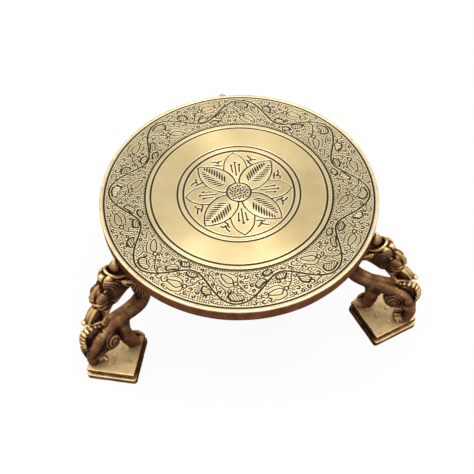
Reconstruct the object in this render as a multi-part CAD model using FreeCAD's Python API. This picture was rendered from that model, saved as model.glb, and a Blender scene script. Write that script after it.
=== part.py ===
import FreeCAD, Part
import math
import os

# Low round offering table of cast brass, standing on three lion-dragon figures.
# Millimetres, +Z up. The figures are identical castings, each on a stepped square plinth.

Vector = FreeCAD.Vector
UP = Vector(0, 0, 1)

# Overall sizes
rim_radius = 101.6
table_height = 122.0

# Top plate: a cast disc with a turned-down skirt and five engraved rings
plate_thickness = 4.0
skirt_height = 10.9
skirt_wall = 3.6
rim_round = 0.8
recess_round = 2.0
ring_width = 0.9
ring_depth = 0.5
medallion_ring_radius = 40.6
medallion_ring_step = 4.3
border_ring_radius = 64.5
border_ring_step = 4.0
edge_line_inset = 3.4

# Leg mounts: a tongue on each figure, screwed up against a cast pad under the plate
tongue_length = 36.0
tongue_width = 20.0
tongue_thickness = 4.0
pad_inset = 1.0
seat_clearance = 0.5
screw_spacing = 12.0
screw_end_distance = 7.0
screws_per_leg = 2
screw_cover = 1.6
screw_end_gap = 0.8

# Leg screws and their washers
leg_screw_radius = 2.5
leg_screw_head_radius = 4.25
leg_screw_head_height = 3.3
leg_screw_slot_width = 1.2
leg_screw_slot_depth = 1.4
washer_radius = 5.2
washer_thickness = 1.0
thread_clearance = 0.05
hole_clearance = 0.3

# Plinth: a lower tier, a narrow neck and an upper slab, all square
plinth_lower_height = 5.4
plinth_neck_height = 3.4
plinth_slab_height = 4.4
plinth_neck_inset = 2.2
plinth_slab_inset = 1.0
plinth_corner_radius = 3.0
plinth_edge_round = 1.6
slab_corner_radius = 0.8

# Plinth screws, countersunk from beneath into the paws
plinth_screw_radius = 1.25
plinth_screw_head_radius = 2.5
plinth_screw_head_height = 1.4
plinth_screw_slot_width = 0.7
plinth_screw_slot_depth = 0.6
plinth_screw_clearance = 0.2
plinth_screw_bite = 6.5
head_recess = 0.4

# Figure: lengths run outwards from the rim, heights up from the plinth, widths across
figure_length = 66.0
figure_width = 22.4
figure_lean = 5.6

# Layout of the legs round the plate
front_leg_spread = 126.5
rear_leg_angle = 90.0
leg_angles = {
    "left": 270.0 - front_leg_spread / 2,
    "right": 270.0 + front_leg_spread / 2,
    "rear": rear_leg_angle,
}

# The seam of a turned limb lies at this angle, off the plane where other limbs cross it
seam_turn = 68.0

# One overrun for every cut, and how closely an edge's height must match to be picked
overrun = 1.0
match_tolerance = 1e-6

plinth_height = plinth_lower_height + plinth_neck_height + plinth_slab_height
figure_height = table_height - skirt_height - plinth_height
recess_radius = rim_radius - skirt_wall
pad_thickness = skirt_height - plate_thickness - tongue_thickness

# The figure as rounded tapers: start, radius, end, radius.
# Places are (out, across, up), as shares of the figure's length, width and height.
# Radii are shares of its width.
body_shares = {
    "neck": ((-0.154, 0.0, 0.94), 0.25, (-0.169, 0.0, 0.53), 0.29),
    "chest": ((-0.215, 0.0, 0.488), 0.275, (-0.077, 0.0, 0.432), 0.295),
    "torso": ((-0.105, 0.0, 0.428), 0.285, (0.34, 0.0, 0.362), 0.288),
    "rump": ((0.335, 0.0, 0.368), 0.29, (0.52, 0.0, 0.3), 0.265),
    "crest_front": ((0.42, 0.0, 0.462), 0.115, (0.575, 0.0, 0.446), 0.125),
    "crest_middle": ((0.572, 0.0, 0.45), 0.118, (0.65, 0.0, 0.354), 0.13),
    "crest_back": ((0.652, 0.0, 0.36), 0.12, (0.61, 0.0, 0.25), 0.11),
    "nape": ((-0.1, 0.0, 0.888), 0.35, (-0.1, 0.0, 0.822), 0.36),
    "skull": ((0.041, 0.0, 0.879), 0.375, (0.143, 0.0, 0.821), 0.385),
    "muzzle": ((0.185, 0.0, 0.79), 0.31, (0.315, 0.0, 0.724), 0.25),
    "jaw": ((0.225, 0.0, 0.68), 0.24, (0.43, 0.0, 0.6), 0.185),
    "nose": ((0.335, 0.0, 0.76), 0.16, (0.392, 0.0, 0.804), 0.19),
    "beard": ((0.475, 0.0, 0.597), 0.12, (0.548, 0.0, 0.588), 0.145),
    "brow": ((0.125, 0.0, 0.9), 0.21, (0.222, 0.0, 0.95), 0.2),
}
limb_shares = {
    "foreleg": ((0.08, 0.14, 0.35), 0.22, (0.05, 0.22, 0.07), 0.165),
    "forepaw": ((0.05, 0.23, 0.03), 0.172, (-0.03, 0.165, 0.022), 0.15),
    "shank": ((0.46, 0.27, 0.26), 0.2, (0.59, 0.23, 0.185), 0.18),
    "hock": ((0.597, 0.222, 0.182), 0.19, (0.57, 0.2, 0.06), 0.172),
    "hindpaw": ((0.562, 0.2, 0.034), 0.18, (0.454, 0.25, 0.022), 0.15),
    "haunch": ((0.395, 0.16, 0.307), 0.33, (0.365, 0.165, 0.225), 0.335),
    "shoulder": ((0.05, 0.1, 0.417), 0.27, (0.04, 0.1, 0.386), 0.275),
    "eye": ((0.212, 0.265, 0.842), 0.125, (0.238, 0.265, 0.836), 0.13),
    "ear": ((-0.085, 0.33, 0.772), 0.1, (0.01, 0.34, 0.828), 0.13),
}

# The tail: a flat lobe with a round edge, standing over the rump inside the crest
tail_centre_share = (0.515, 0.0, 0.392)
tail_radius_share = 0.43
tail_thickness_share = 0.26

topknot_radius_share = 0.18
topknot_height_share = 0.985
topknot_root_share = 0.14

# The plinth is as large as the figure's stance, and its screws stand under the paws
plinth_side_share = 0.594
plinth_centre_share = 0.308
fore_screw_shares = (0.052, 0.2)
hind_screw_shares = (0.56, -0.19)


def lean_at(height):
    # The castings lean a little to one side, most at the neck.
    return -figure_lean * height / figure_height


def figure_point(shares):
    out, across, up = shares
    height = up * figure_height
    return Vector(rim_radius + out * figure_length, across * figure_width + lean_at(height), height)


def rounded_taper(start, start_radius, end, end_radius):
    # Two balls joined by the cone that touches both, turned as one profile.
    axis = end.sub(start)
    length = axis.Length
    slope = (start_radius - end_radius) / length
    cosine = math.sqrt(1 - slope * slope)
    half_turns = ((-math.pi / 2 + math.asin(slope)) / 2, (math.pi / 2 + math.asin(slope)) / 2)
    foot = Vector(0, 0, -start_radius)
    foot_mid = Vector(start_radius * math.cos(half_turns[0]), 0, start_radius * math.sin(half_turns[0]))
    foot_end = Vector(start_radius * cosine, 0, start_radius * slope)
    head_start = Vector(end_radius * cosine, 0, length + end_radius * slope)
    head_mid = Vector(end_radius * math.cos(half_turns[1]), 0, length + end_radius * math.sin(half_turns[1]))
    head = Vector(0, 0, length + end_radius)
    edges = [
        Part.Arc(foot, foot_mid, foot_end).toShape(),
        Part.LineSegment(foot_end, head_start).toShape(),
        Part.Arc(head_start, head_mid, head).toShape(),
        Part.LineSegment(head, foot).toShape(),
    ]
    solid = Part.Face(Part.Wire(edges)).revolve(Vector(0, 0, 0), UP, 360)
    turn = FreeCAD.Rotation(UP, axis).multiply(FreeCAD.Rotation(UP, seam_turn))
    solid.Placement = FreeCAD.Placement(start, turn)
    return solid


def tail():
    # A disc standing on edge along the figure, its rim a full round.
    half = tail_thickness_share * figure_width / 2
    reach = tail_radius_share * figure_width - half
    edges = [
        Part.LineSegment(Vector(0, 0, -half), Vector(reach, 0, -half)).toShape(),
        Part.Arc(Vector(reach, 0, -half), Vector(reach + half, 0, 0), Vector(reach, 0, half)).toShape(),
        Part.LineSegment(Vector(reach, 0, half), Vector(0, 0, half)).toShape(),
        Part.LineSegment(Vector(0, 0, half), Vector(0, 0, -half)).toShape(),
    ]
    solid = Part.Face(Part.Wire(edges)).revolve(Vector(0, 0, 0), UP, 360)
    solid.Placement = FreeCAD.Placement(
        figure_point(tail_centre_share), FreeCAD.Rotation(UP, Vector(0, 1, 0)))
    return solid


def mirrored(place):
    out, across, up = place
    return (out, -across, up)


def body_pieces():
    tapers = list(body_shares.values())
    for start, start_radius, end, end_radius in limb_shares.values():
        tapers.append((start, start_radius, end, end_radius))
        tapers.append((mirrored(start), start_radius, mirrored(end), end_radius))
    pieces = [
        rounded_taper(
            figure_point(start), start_radius * figure_width,
            figure_point(end), end_radius * figure_width)
        for start, start_radius, end, end_radius in tapers
    ]
    return pieces + [tail(), topknot()]


def topknot():
    # The ball of hair stands just clear of the rim, on a root that rises from the skull.
    radius = topknot_radius_share * figure_width
    height = topknot_height_share * figure_height
    ball = Vector(rim_radius + radius + seat_clearance, lean_at(height), height)
    root = figure_point(body_shares["skull"][0])
    return rounded_taper(root, topknot_root_share * figure_width, ball, radius)


def tongue_lane():
    # The tongue's middle line: how far out its round end is centred, and its side offset.
    across = lean_at(figure_height)
    reach = recess_radius - seat_clearance - tongue_width / 2
    return math.sqrt(reach * reach - across * across), across


def tongue_slab(inset, bottom, thickness):
    # A flat bar with a round outer end, under the plate.
    out, across = tongue_lane()
    radius = tongue_width / 2 - inset
    inner = out - tongue_length + tongue_width / 2 + inset
    bar = Part.makeBox(out - inner, radius * 2, thickness, Vector(inner, across - radius, bottom))
    end = Part.makeCylinder(radius, thickness, Vector(out, across, bottom))
    return bar.fuse(end)


def leg_screw_places():
    out, across = tongue_lane()
    first = out - tongue_length + tongue_width / 2 + screw_end_distance
    return [(first + step * screw_spacing, across) for step in range(screws_per_leg)]


def paw_screw_places():
    return [
        (rim_radius + out * figure_length, across * figure_width)
        for out, across in (fore_screw_shares, hind_screw_shares)
    ]


def figure():
    neck_start, neck_share = body_shares["neck"][:2]
    neck_foot = figure_point(neck_start)
    neck_height = figure_height + tongue_thickness - neck_foot.z
    nape = Part.makeCylinder(neck_share * figure_width, neck_height, neck_foot)
    pieces = body_pieces()
    solid = nape.fuse(tongue_slab(0, figure_height, tongue_thickness))
    for piece in pieces:
        solid = solid.fuse(piece)
    below = Part.makeBox(
        rim_radius + figure_length * 2, figure_width * 4, figure_height,
        Vector(0, -figure_width * 2, -figure_height))
    solid = solid.cut(below)
    for out, across in leg_screw_places():
        hole = Part.makeCylinder(
            leg_screw_radius + hole_clearance, tongue_thickness + overrun * 2,
            Vector(out, across, figure_height - overrun))
        solid = solid.cut(hole)
    for out, across in paw_screw_places():
        hole = Part.makeCylinder(
            plinth_screw_radius + thread_clearance, plinth_screw_bite + overrun,
            Vector(out, across, -overrun))
        solid = solid.cut(hole)
    return solid.removeSplitter()


def square_tier(side, bottom, height, corner_radius):
    # A square slab whose corner points out along the leg's radius.
    half = side / 2
    box = Part.makeBox(side, side, height, Vector(-half, -half, bottom))
    uprights = [edge for edge in box.Edges if abs(edge.tangentAt(edge.FirstParameter).z) > 0.5]
    box = box.makeFillet(corner_radius, uprights)
    box.rotate(Vector(0, 0, 0), UP, 45)
    return box


def is_level(box, height):
    return abs(height - box.ZMin) < match_tolerance and abs(height - box.ZMax) < match_tolerance


def level_edges(solid, heights):
    return [
        edge for edge in solid.Edges
        if any(is_level(edge.BoundBox, height) for height in heights)
    ]


def plinth():
    plinth_side = plinth_side_share * figure_length
    lower = square_tier(plinth_side, 0, plinth_lower_height, plinth_corner_radius)
    lower = lower.makeFillet(plinth_edge_round, level_edges(lower, (0, plinth_lower_height)))
    neck_side = plinth_side - plinth_neck_inset * 2
    neck = square_tier(
        neck_side, plinth_lower_height - overrun, plinth_neck_height + overrun * 2, plinth_corner_radius)
    slab_side = plinth_side - plinth_slab_inset * 2
    slab = square_tier(
        slab_side, plinth_lower_height + plinth_neck_height, plinth_slab_height, slab_corner_radius)
    solid = lower.fuse([neck, slab])
    centre = rim_radius + plinth_centre_share * figure_length
    solid.translate(Vector(centre, 0, 0))
    for out, across in paw_screw_places():
        solid = solid.cut(plinth_screw_hole(out, across))
    return solid.removeSplitter()


def plinth_screw_hole(out, across):
    bore = plinth_screw_radius + plinth_screw_clearance
    mouth_radius = plinth_screw_head_radius + plinth_screw_clearance
    shank = Part.makeCylinder(bore, plinth_height + overrun * 2, Vector(out, across, -overrun))
    mouth = Part.makeCylinder(mouth_radius, head_recess + overrun, Vector(out, across, -overrun))
    cone = Part.makeCone(mouth_radius, bore, plinth_screw_head_height, Vector(out, across, head_recess))
    return shank.fuse([mouth, cone])


def plinth_screw(out, across):
    # Its head lies just inside the plinth's underside; its shank ends in the paw.
    head = Part.makeCone(
        plinth_screw_head_radius, plinth_screw_radius, plinth_screw_head_height,
        Vector(out, across, head_recess))
    shank = Part.makeCylinder(
        plinth_screw_radius, plinth_height - head_recess + plinth_screw_bite - screw_end_gap,
        Vector(out, across, head_recess))
    slot = Part.makeBox(
        plinth_screw_head_radius * 2, plinth_screw_slot_width, plinth_screw_slot_depth,
        Vector(out - plinth_screw_head_radius, across - plinth_screw_slot_width / 2, head_recess))
    return head.fuse(shank).cut(slot)


def leg_screw(out, across):
    # Driven upwards through washer and tongue into the pad under the plate.
    seat = table_height - skirt_height - washer_thickness
    head = Part.makeCylinder(
        leg_screw_head_radius, leg_screw_head_height, Vector(out, across, seat - leg_screw_head_height))
    length = washer_thickness + tongue_thickness + pad_thickness + plate_thickness - screw_cover
    shank = Part.makeCylinder(leg_screw_radius, length - screw_end_gap, Vector(out, across, seat))
    slot = Part.makeBox(
        leg_screw_head_radius * 2, leg_screw_slot_width, leg_screw_slot_depth,
        Vector(out - leg_screw_head_radius, across - leg_screw_slot_width / 2, seat - leg_screw_head_height))
    return head.fuse(shank).cut(slot)


def washer(out, across):
    place = Vector(out, across, table_height - skirt_height - washer_thickness)
    disc = Part.makeCylinder(washer_radius, washer_thickness, place)
    bore = Part.makeCylinder(
        leg_screw_radius + hole_clearance, washer_thickness + overrun * 2,
        place.sub(Vector(0, 0, overrun)))
    return disc.cut(bore)


def ring_groove(radius):
    outer = Part.makeCylinder(radius + ring_width / 2, ring_depth + overrun)
    inner = Part.makeCylinder(radius - ring_width / 2, ring_depth + overrun)
    groove = outer.cut(inner)
    groove.translate(Vector(0, 0, table_height - ring_depth))
    return groove


def plate_blank():
    blank = Part.makeCylinder(rim_radius, skirt_height, Vector(0, 0, table_height - skirt_height))
    blank = blank.makeFillet(rim_round, level_edges(blank, (table_height, table_height - skirt_height)))
    depth = skirt_height - plate_thickness
    recess = Part.makeCylinder(
        recess_radius, depth + overrun, Vector(0, 0, table_height - skirt_height - overrun))
    recess = recess.makeFillet(recess_round, level_edges(recess, (table_height - plate_thickness,)))
    return blank.cut(recess)


def leg_pad(angle):
    # A cast pad with two blind threaded holes, where a tongue is drawn up.
    bottom = table_height - plate_thickness - pad_thickness
    pad = tongue_slab(pad_inset, bottom, pad_thickness + overrun)
    holes = [
        Part.makeCylinder(
            leg_screw_radius + thread_clearance, pad_thickness + plate_thickness - screw_cover + overrun,
            Vector(out, across, bottom - overrun))
        for out, across in leg_screw_places()
    ]
    for shape in [pad] + holes:
        shape.rotate(Vector(0, 0, 0), UP, angle)
    return pad, holes


def top_plate():
    plate = plate_blank()
    for radius in (
            medallion_ring_radius, medallion_ring_radius + medallion_ring_step,
            border_ring_radius, border_ring_radius + border_ring_step,
            rim_radius - edge_line_inset):
        plate = plate.cut(ring_groove(radius))
    for angle in leg_angles.values():
        pad, holes = leg_pad(angle)
        plate = plate.fuse(pad).cut(holes)
    return plate


def turned(shape, angle, height=0):
    copy = shape.copy()
    copy.translate(Vector(0, 0, height))
    copy.rotate(Vector(0, 0, 0), UP, angle)
    return copy


def build():
    nodes = {"top_plate": top_plate()}
    beast = figure()
    stand = plinth()
    leg_screws = [leg_screw(*place) for place in leg_screw_places()]
    washers = [washer(*place) for place in leg_screw_places()]
    paw_screws = [plinth_screw(*place) for place in paw_screw_places()]
    groups = {"leg_screws": leg_screws, "leg_washers": washers, "plinth_screws": paw_screws}
    for side, angle in leg_angles.items():
        nodes["beast_" + side] = turned(beast, angle, plinth_height)
        nodes["plinth_" + side] = turned(stand, angle)
    for name, shapes in groups.items():
        nodes[name] = Part.makeCompound(
            [turned(shape, angle) for angle in leg_angles.values() for shape in shapes])
    return nodes


def centre_of(shapes):
    box = Part.makeCompound(shapes).optimalBoundingBox(False)
    return Vector((box.XMin + box.XMax) / 2, (box.YMin + box.YMax) / 2, box.ZMin)


os.makedirs("parts", exist_ok=True)
nodes = build()
origin = centre_of(list(nodes.values()))
for name, shape in nodes.items():
    shape.translate(Vector(-origin.x, -origin.y, -origin.z))
    shape.exportStep("parts/" + name + ".step")
    print(name, len(shape.Solids), "solids", round(shape.Volume), "mm3", "valid", shape.isValid())
print("plate axis at", round(-origin.x, 3), round(-origin.y, 3), "floor shift", round(origin.z, 3))
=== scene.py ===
# %% [markdown]
# # A low offering table of cast brass
#
# The table is a round plate with engraving on top, carried by three cast lion-dragons on square plinths.
# Its sizes and places come from the imported model, so nothing here has to be fitted by eye.
# This first cell loads that model and moves each part's placement into its points.

import math

import bpy
import numpy as np
from mathutils import Matrix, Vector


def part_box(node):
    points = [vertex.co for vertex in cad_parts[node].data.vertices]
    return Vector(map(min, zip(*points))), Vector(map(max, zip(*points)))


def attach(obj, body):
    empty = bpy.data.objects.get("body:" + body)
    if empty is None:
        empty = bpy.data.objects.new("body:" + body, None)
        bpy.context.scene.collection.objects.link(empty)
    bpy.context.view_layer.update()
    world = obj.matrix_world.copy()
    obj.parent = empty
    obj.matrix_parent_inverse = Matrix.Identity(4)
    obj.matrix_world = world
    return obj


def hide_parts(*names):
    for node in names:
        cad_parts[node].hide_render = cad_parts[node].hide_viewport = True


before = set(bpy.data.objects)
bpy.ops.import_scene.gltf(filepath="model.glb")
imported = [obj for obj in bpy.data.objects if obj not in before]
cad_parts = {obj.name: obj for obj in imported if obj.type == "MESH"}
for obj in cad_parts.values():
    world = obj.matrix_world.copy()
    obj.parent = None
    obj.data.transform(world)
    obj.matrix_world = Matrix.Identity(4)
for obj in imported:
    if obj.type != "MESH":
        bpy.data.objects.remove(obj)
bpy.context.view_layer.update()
print("nodes", sorted(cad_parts))

# %% Sizes read from the frame, in metres
MM = 0.001
plate_low, plate_high = (np.array(corner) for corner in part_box("top_plate"))
plate_centre = (plate_low[:2] + plate_high[:2]) / 2
rim_radius = float(max(plate_high[:2] - plate_low[:2]) / 2)
plate_top = float(plate_high[2])
skirt_bottom = float(plate_low[2])
plinth_height = float(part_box("plinth_left")[1][2])
figure_height = skirt_bottom - plinth_height
print("plate radius", round(rim_radius, 4), "top", plate_top, "plinth", plinth_height)

# %% [markdown]
# ## The camera
#
# The plate's engraved circles were followed in the photograph, and the camera that turns true circles into
# those ellipses was worked out from them. It looks down at the plate from about 54 degrees and is tilted by
# about one. Its place is written in plate radii from the middle of the top, which is how it was measured.

# %% Camera at the photograph's view
photo_turn = math.radians(-8.5)
camera_elevation = math.radians(53.9)
camera_roll = math.radians(-1.26)
camera_distance = 5.201
camera_aim = np.array([-0.0207, -0.4017, 0.0])
focal_pixels = 758.1
photo_width = 474
sensor_width = 36.0


def turned_about_axis(points, angle):
    """Points turned about the upright axis: x and y mixed by the angle's cosine and sine, z kept."""
    cosine, sine = math.cos(angle), math.sin(angle)
    points = np.asarray(points, float)
    x = points[..., 0] * cosine - points[..., 1] * sine
    y = points[..., 0] * sine + points[..., 1] * cosine
    return np.stack([x, y, points[..., 2]], axis=-1)


def camera_axes(elevation, roll):
    """Right, up and backward directions of a camera that looks along +Y and down by the elevation."""
    back = np.array([0.0, -math.cos(elevation), math.sin(elevation)])
    right = np.array([1.0, 0.0, 0.0])
    up = np.cross(back, right)
    rolled_right = math.cos(roll) * right + math.sin(roll) * up
    rolled_up = -math.sin(roll) * right + math.cos(roll) * up
    return rolled_right, rolled_up, back


axes = camera_axes(camera_elevation, camera_roll)
place = turned_about_axis((camera_aim + axes[2] * camera_distance) * rim_radius, photo_turn)
place += np.array([plate_centre[0], plate_centre[1], plate_top])
matrix = np.eye(4)
for column, axis in enumerate(axes):
    matrix[:3, column] = turned_about_axis(axis, photo_turn)
matrix[:3, 3] = place

camera = bpy.data.objects.new("camera", bpy.data.cameras.new("camera"))
camera.data.sensor_fit = "HORIZONTAL"
camera.data.sensor_width = sensor_width
camera.data.lens = sensor_width * focal_pixels / photo_width
camera.data.clip_start = 0.01
camera.matrix_world = Matrix(matrix.tolist())
bpy.context.scene.collection.objects.link(camera)
bpy.context.scene.camera = camera
bpy.context.scene.view_settings.view_transform = "Standard"
print("camera at", np.round(place, 4))

# %% [markdown]
# ## Colours and material nodes
#
# Colours are written as the sRGB hex values that a colour picker shows. Shaders work in linear light, so one
# function turns them. One more function adds a node with its options, values and links, so that a material
# reads as a short list of steps.

# %% Helpers for colours and nodes


def linear(hex_colour):
    """Linear RGBA of an sRGB hex colour: each channel is lifted by the standard's 2.4 power curve."""
    channels = [int(hex_colour[i:i + 2], 16) / 255 for i in (1, 3, 5)]
    curve = [c / 12.92 if c <= 0.04045 else ((c + 0.055) / 1.055) ** 2.4 for c in channels]
    return (*curve, 1.0)


def add_node(tree, kind, options=None, inputs=None):
    """Adds a node, sets its options, and gives each named input a value or a link from a socket."""
    node = tree.nodes.new(kind)
    for name, value in (options or {}).items():
        setattr(node, name, value)
    for name, value in (inputs or {}).items():
        if isinstance(value, bpy.types.NodeSocket):
            tree.links.new(value, node.inputs[name])
        else:
            node.inputs[name].default_value = value
    return node


def new_material(name):
    """A material without any nodes, ready to be filled."""
    material = bpy.data.materials.new(name)
    material.use_nodes = True
    material.node_tree.nodes.clear()
    return material, material.node_tree


# %% [markdown]
# ## The studio
#
# White surroundings light the table evenly from all round. Two large soft lamps hang high to its left and
# right, and draw two broad fans of light out of the turned top. The floor is white card. It glows a little
# to the eye, so that it is nearly as white as the backdrop, and the rest of it still takes a faint shadow.

# %% Backdrop
backdrop_strength = 1.0
backdrop_light = 0.62


def seen_directly(tree):
    """One for a ray from the camera, off a mirror or through glass, nothing for a ray that only lights."""
    rays = add_node(tree, "ShaderNodeLightPath")
    seen = add_node(tree, "ShaderNodeMath", {"operation": "MAXIMUM"},
                    {0: rays.outputs["Is Camera Ray"], 1: rays.outputs["Is Glossy Ray"]})
    return add_node(tree, "ShaderNodeMath", {"operation": "MAXIMUM"},
                    {0: seen.outputs[0], 1: rays.outputs["Is Transmission Ray"]})


world = bpy.data.worlds.new("studio")
bpy.context.scene.world = world
world.use_nodes = True
world.node_tree.nodes.clear()
seen = seen_directly(world.node_tree)
lit = add_node(world.node_tree, "ShaderNodeBackground", None,
               {"Color": linear("#FFFFFF"), "Strength": backdrop_light})
shown = add_node(world.node_tree, "ShaderNodeBackground", None,
                 {"Color": linear("#FFFFFF"), "Strength": backdrop_strength})
backdrop = add_node(world.node_tree, "ShaderNodeMixShader", None,
                    {0: seen.outputs[0], 1: lit.outputs[0], 2: shown.outputs[0]})
add_node(world.node_tree, "ShaderNodeOutputWorld", None, {"Surface": backdrop.outputs[0]})
print("backdrop gives", backdrop_light, "of the light that it shows")

# %% Lamps


def soft_lamp(name, azimuth, elevation, distance, size, power):
    """A square lamp that looks at the plate's middle; degrees, metres and watts."""
    lamp = bpy.data.lights.new(name, "AREA")
    lamp.shape = "SQUARE"
    lamp.size = size
    lamp.energy = power
    a, e = math.radians(azimuth), math.radians(elevation)
    direction = np.array([math.cos(e) * math.cos(a), math.cos(e) * math.sin(a), math.sin(e)])
    side = np.array([-math.sin(a), math.cos(a), 0.0])
    holder = bpy.data.objects.new(name, lamp)
    frame_matrix = np.eye(4)
    frame_matrix[:3, 0] = side
    frame_matrix[:3, 1] = np.cross(direction, side)
    frame_matrix[:3, 2] = direction
    frame_matrix[:3, 3] = direction * distance + np.array([0.0, 0.0, plate_top])
    holder.matrix_world = Matrix(frame_matrix.tolist())
    bpy.context.scene.collection.objects.link(holder)


soft_lamp("left_lamp", azimuth=182.0, elevation=68.0, distance=1.1, size=0.5, power=4.4)
soft_lamp("right_lamp", azimuth=-28.0, elevation=74.0, distance=1.1, size=0.45, power=5.0)
print("lamps", sorted(lamp.name for lamp in bpy.data.lights))

# %% Floor
floor_half = 6.0
floor_glow = 0.94
floor_material, tree = new_material("matt_white_card")
grain = add_node(tree, "ShaderNodeTexNoise", None, {"Scale": 40.0, "Detail": 3.0})
tint = add_node(tree, "ShaderNodeMix", {"data_type": "RGBA"},
                {"Factor": grain.outputs["Fac"], "A": linear("#FBFBFA"), "B": linear("#F8F8F7")})
card = add_node(tree, "ShaderNodeBsdfDiffuse", None, {"Color": tint.outputs["Result"]})
glow = add_node(tree, "ShaderNodeEmission", None,
                {"Color": linear("#FFFFFF"), "Strength": backdrop_strength})
seen = seen_directly(tree)
share = add_node(tree, "ShaderNodeMath", {"operation": "MULTIPLY"}, {0: seen.outputs[0], 1: floor_glow})
paper = add_node(tree, "ShaderNodeMixShader", None,
                 {0: share.outputs[0], 1: card.outputs[0], 2: glow.outputs[0]})
add_node(tree, "ShaderNodeOutputMaterial", None, {"Surface": paper.outputs[0]})
floor_mesh = bpy.data.meshes.new("floor")
floor_mesh.from_pydata(
    [(-floor_half, -floor_half, 0), (floor_half, -floor_half, 0),
     (floor_half, floor_half, 0), (-floor_half, floor_half, 0)], [], [(0, 1, 2, 3)])
floor_mesh.materials.append(floor_material)
floor = bpy.data.objects.new("floor", floor_mesh)
bpy.context.scene.collection.objects.link(floor)
print("floor", 2 * floor_half, "m square")

# %% [markdown]
# ## From arrays to meshes
#
# Every new piece is worked out as numpy arrays. The first function hands them to Blender in one go. It takes
# the faces as rows of corner numbers, a value per point for each finish, and, where they are known, the
# exact normals of the corners, so that neighbouring pieces meet without a visible line.

# %% Helpers for meshes


def make_piece(name, points, quads, triangles=(), values=None, corner_normals=None, material=None):
    """A mesh object from arrays: quads then triangles, each corner with its own normal where given."""
    quads = np.asarray(quads, np.int32).reshape(-1, 4)
    triangles = np.asarray(triangles, np.int32).reshape(-1, 3)
    corners = np.concatenate([quads.ravel(), triangles.ravel()])
    starts = np.concatenate([np.arange(len(quads)) * 4, len(quads) * 4 + np.arange(len(triangles)) * 3])
    mesh = bpy.data.meshes.new(name)
    mesh.vertices.add(len(points))
    mesh.vertices.foreach_set("co", np.asarray(points, np.float32).ravel())
    mesh.loops.add(len(corners))
    mesh.loops.foreach_set("vertex_index", corners)
    mesh.polygons.add(len(starts))
    mesh.polygons.foreach_set("loop_start", starts.astype(np.int32))
    mesh.polygons.foreach_set("use_smooth", np.ones(len(starts), bool))
    mesh.update(calc_edges=True)
    for key, value in (values or {}).items():
        attribute = mesh.attributes.new(key, "FLOAT", "POINT")
        attribute.data.foreach_set("value", np.asarray(value, np.float32).ravel())
    if corner_normals is not None:
        mesh.normals_split_custom_set(np.asarray(corner_normals, np.float32))
    mesh.materials.append(material)
    piece = bpy.data.objects.new(name, mesh)
    bpy.context.scene.collection.objects.link(piece)
    print(name, len(quads) * 2 + len(triangles), "triangles")
    return piece


def keep_as(piece, node):
    """The piece rides on the table in place of a CAD node, which is hidden."""
    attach(piece, "root")
    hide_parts(node)


# %% [markdown]
# ## Engraver's strokes
#
# The top is engraved by hand: lines are cut with a graver, and the ground between them is filled with rows
# of punched dots. A stroke is a smooth path through a few points. A groove's depth at any point of the plate
# follows from its distance to the path, so one function cuts every stalk, leaf, vein and petal.

# %% Strokes


def smooth_path(points, steps=6):
    """Catmull-Rom curve through the points: each span is a cubic whose slopes come from its neighbours."""
    p = np.asarray(points, float)
    p = np.vstack([2 * p[0] - p[1], p, 2 * p[-1] - p[-2]])
    t = np.linspace(0, 1, steps, endpoint=False)[:, None]
    a, b, c, d = p[:-3, None], p[1:-2, None], p[2:-1, None], p[3:, None]
    curve = 0.5 * (2 * b + (c - a) * t + (2 * a - 5 * b + 4 * c - d) * t ** 2
                   + (3 * b - a - 3 * c + d) * t ** 3)
    return np.vstack([curve.reshape(-1, p.shape[1]), p[-2]])


def distance_to_path(x, y, path):
    """Shortest distance from each point to a path, over all of its straight spans at once."""
    start, step = path[:-1], np.diff(path, axis=0)
    length = np.maximum((step ** 2).sum(1), 1e-12)
    dx, dy = x[:, None] - start[:, 0], y[:, None] - start[:, 1]
    along = np.clip((dx * step[:, 0] + dy * step[:, 1]) / length, 0, 1)
    return np.sqrt(((dx - along * step[:, 0]) ** 2 + (dy - along * step[:, 1]) ** 2).min(1))


def inside_path(x, y, path):
    """Whether each point lies inside a closed path: a ray to the right crosses it an odd number of times."""
    x0, y0 = path[:, 0], path[:, 1]
    x1, y1 = np.roll(x0, -1), np.roll(y0, -1)
    rise = np.where(y1 == y0, 1e-12, y1 - y0)
    crosses = (y0 > y[:, None]) != (y1 > y[:, None])
    left = x[:, None] < (x1 - x0) * (y[:, None] - y0) / rise + x0
    return (crosses & left).sum(1) % 2 == 1


def near(x, y, path, margin):
    """Numbers of the points inside a path's box grown by a margin."""
    low, high = path.min(0) - margin, path.max(0) + margin
    return np.flatnonzero((x > low[0]) & (x < high[0]) & (y > low[1]) & (y < high[1]))


def cut_stroke(height, x, y, path, width, depth):
    """Lowers the surface along a path: full depth on the line, rising as a parabola to its sides."""
    half = width / 2
    found = near(x, y, path, half)
    if len(found):
        share = distance_to_path(x[found], y[found], path) / half
        height[found] = np.minimum(height[found], -depth * np.clip(1 - share ** 2, 0, 1))


# %% [markdown]
# ## Engraving of the medallion
#
# Four veined leaves and, behind them, four plain petals stand round a disc of punched dots. They were
# measured on the straightened photograph as shares of the plate's radius. The leaves are a little pillowed,
# which gives each its own soft highlight, and lie on a ground that is cut slightly lower.

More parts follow.
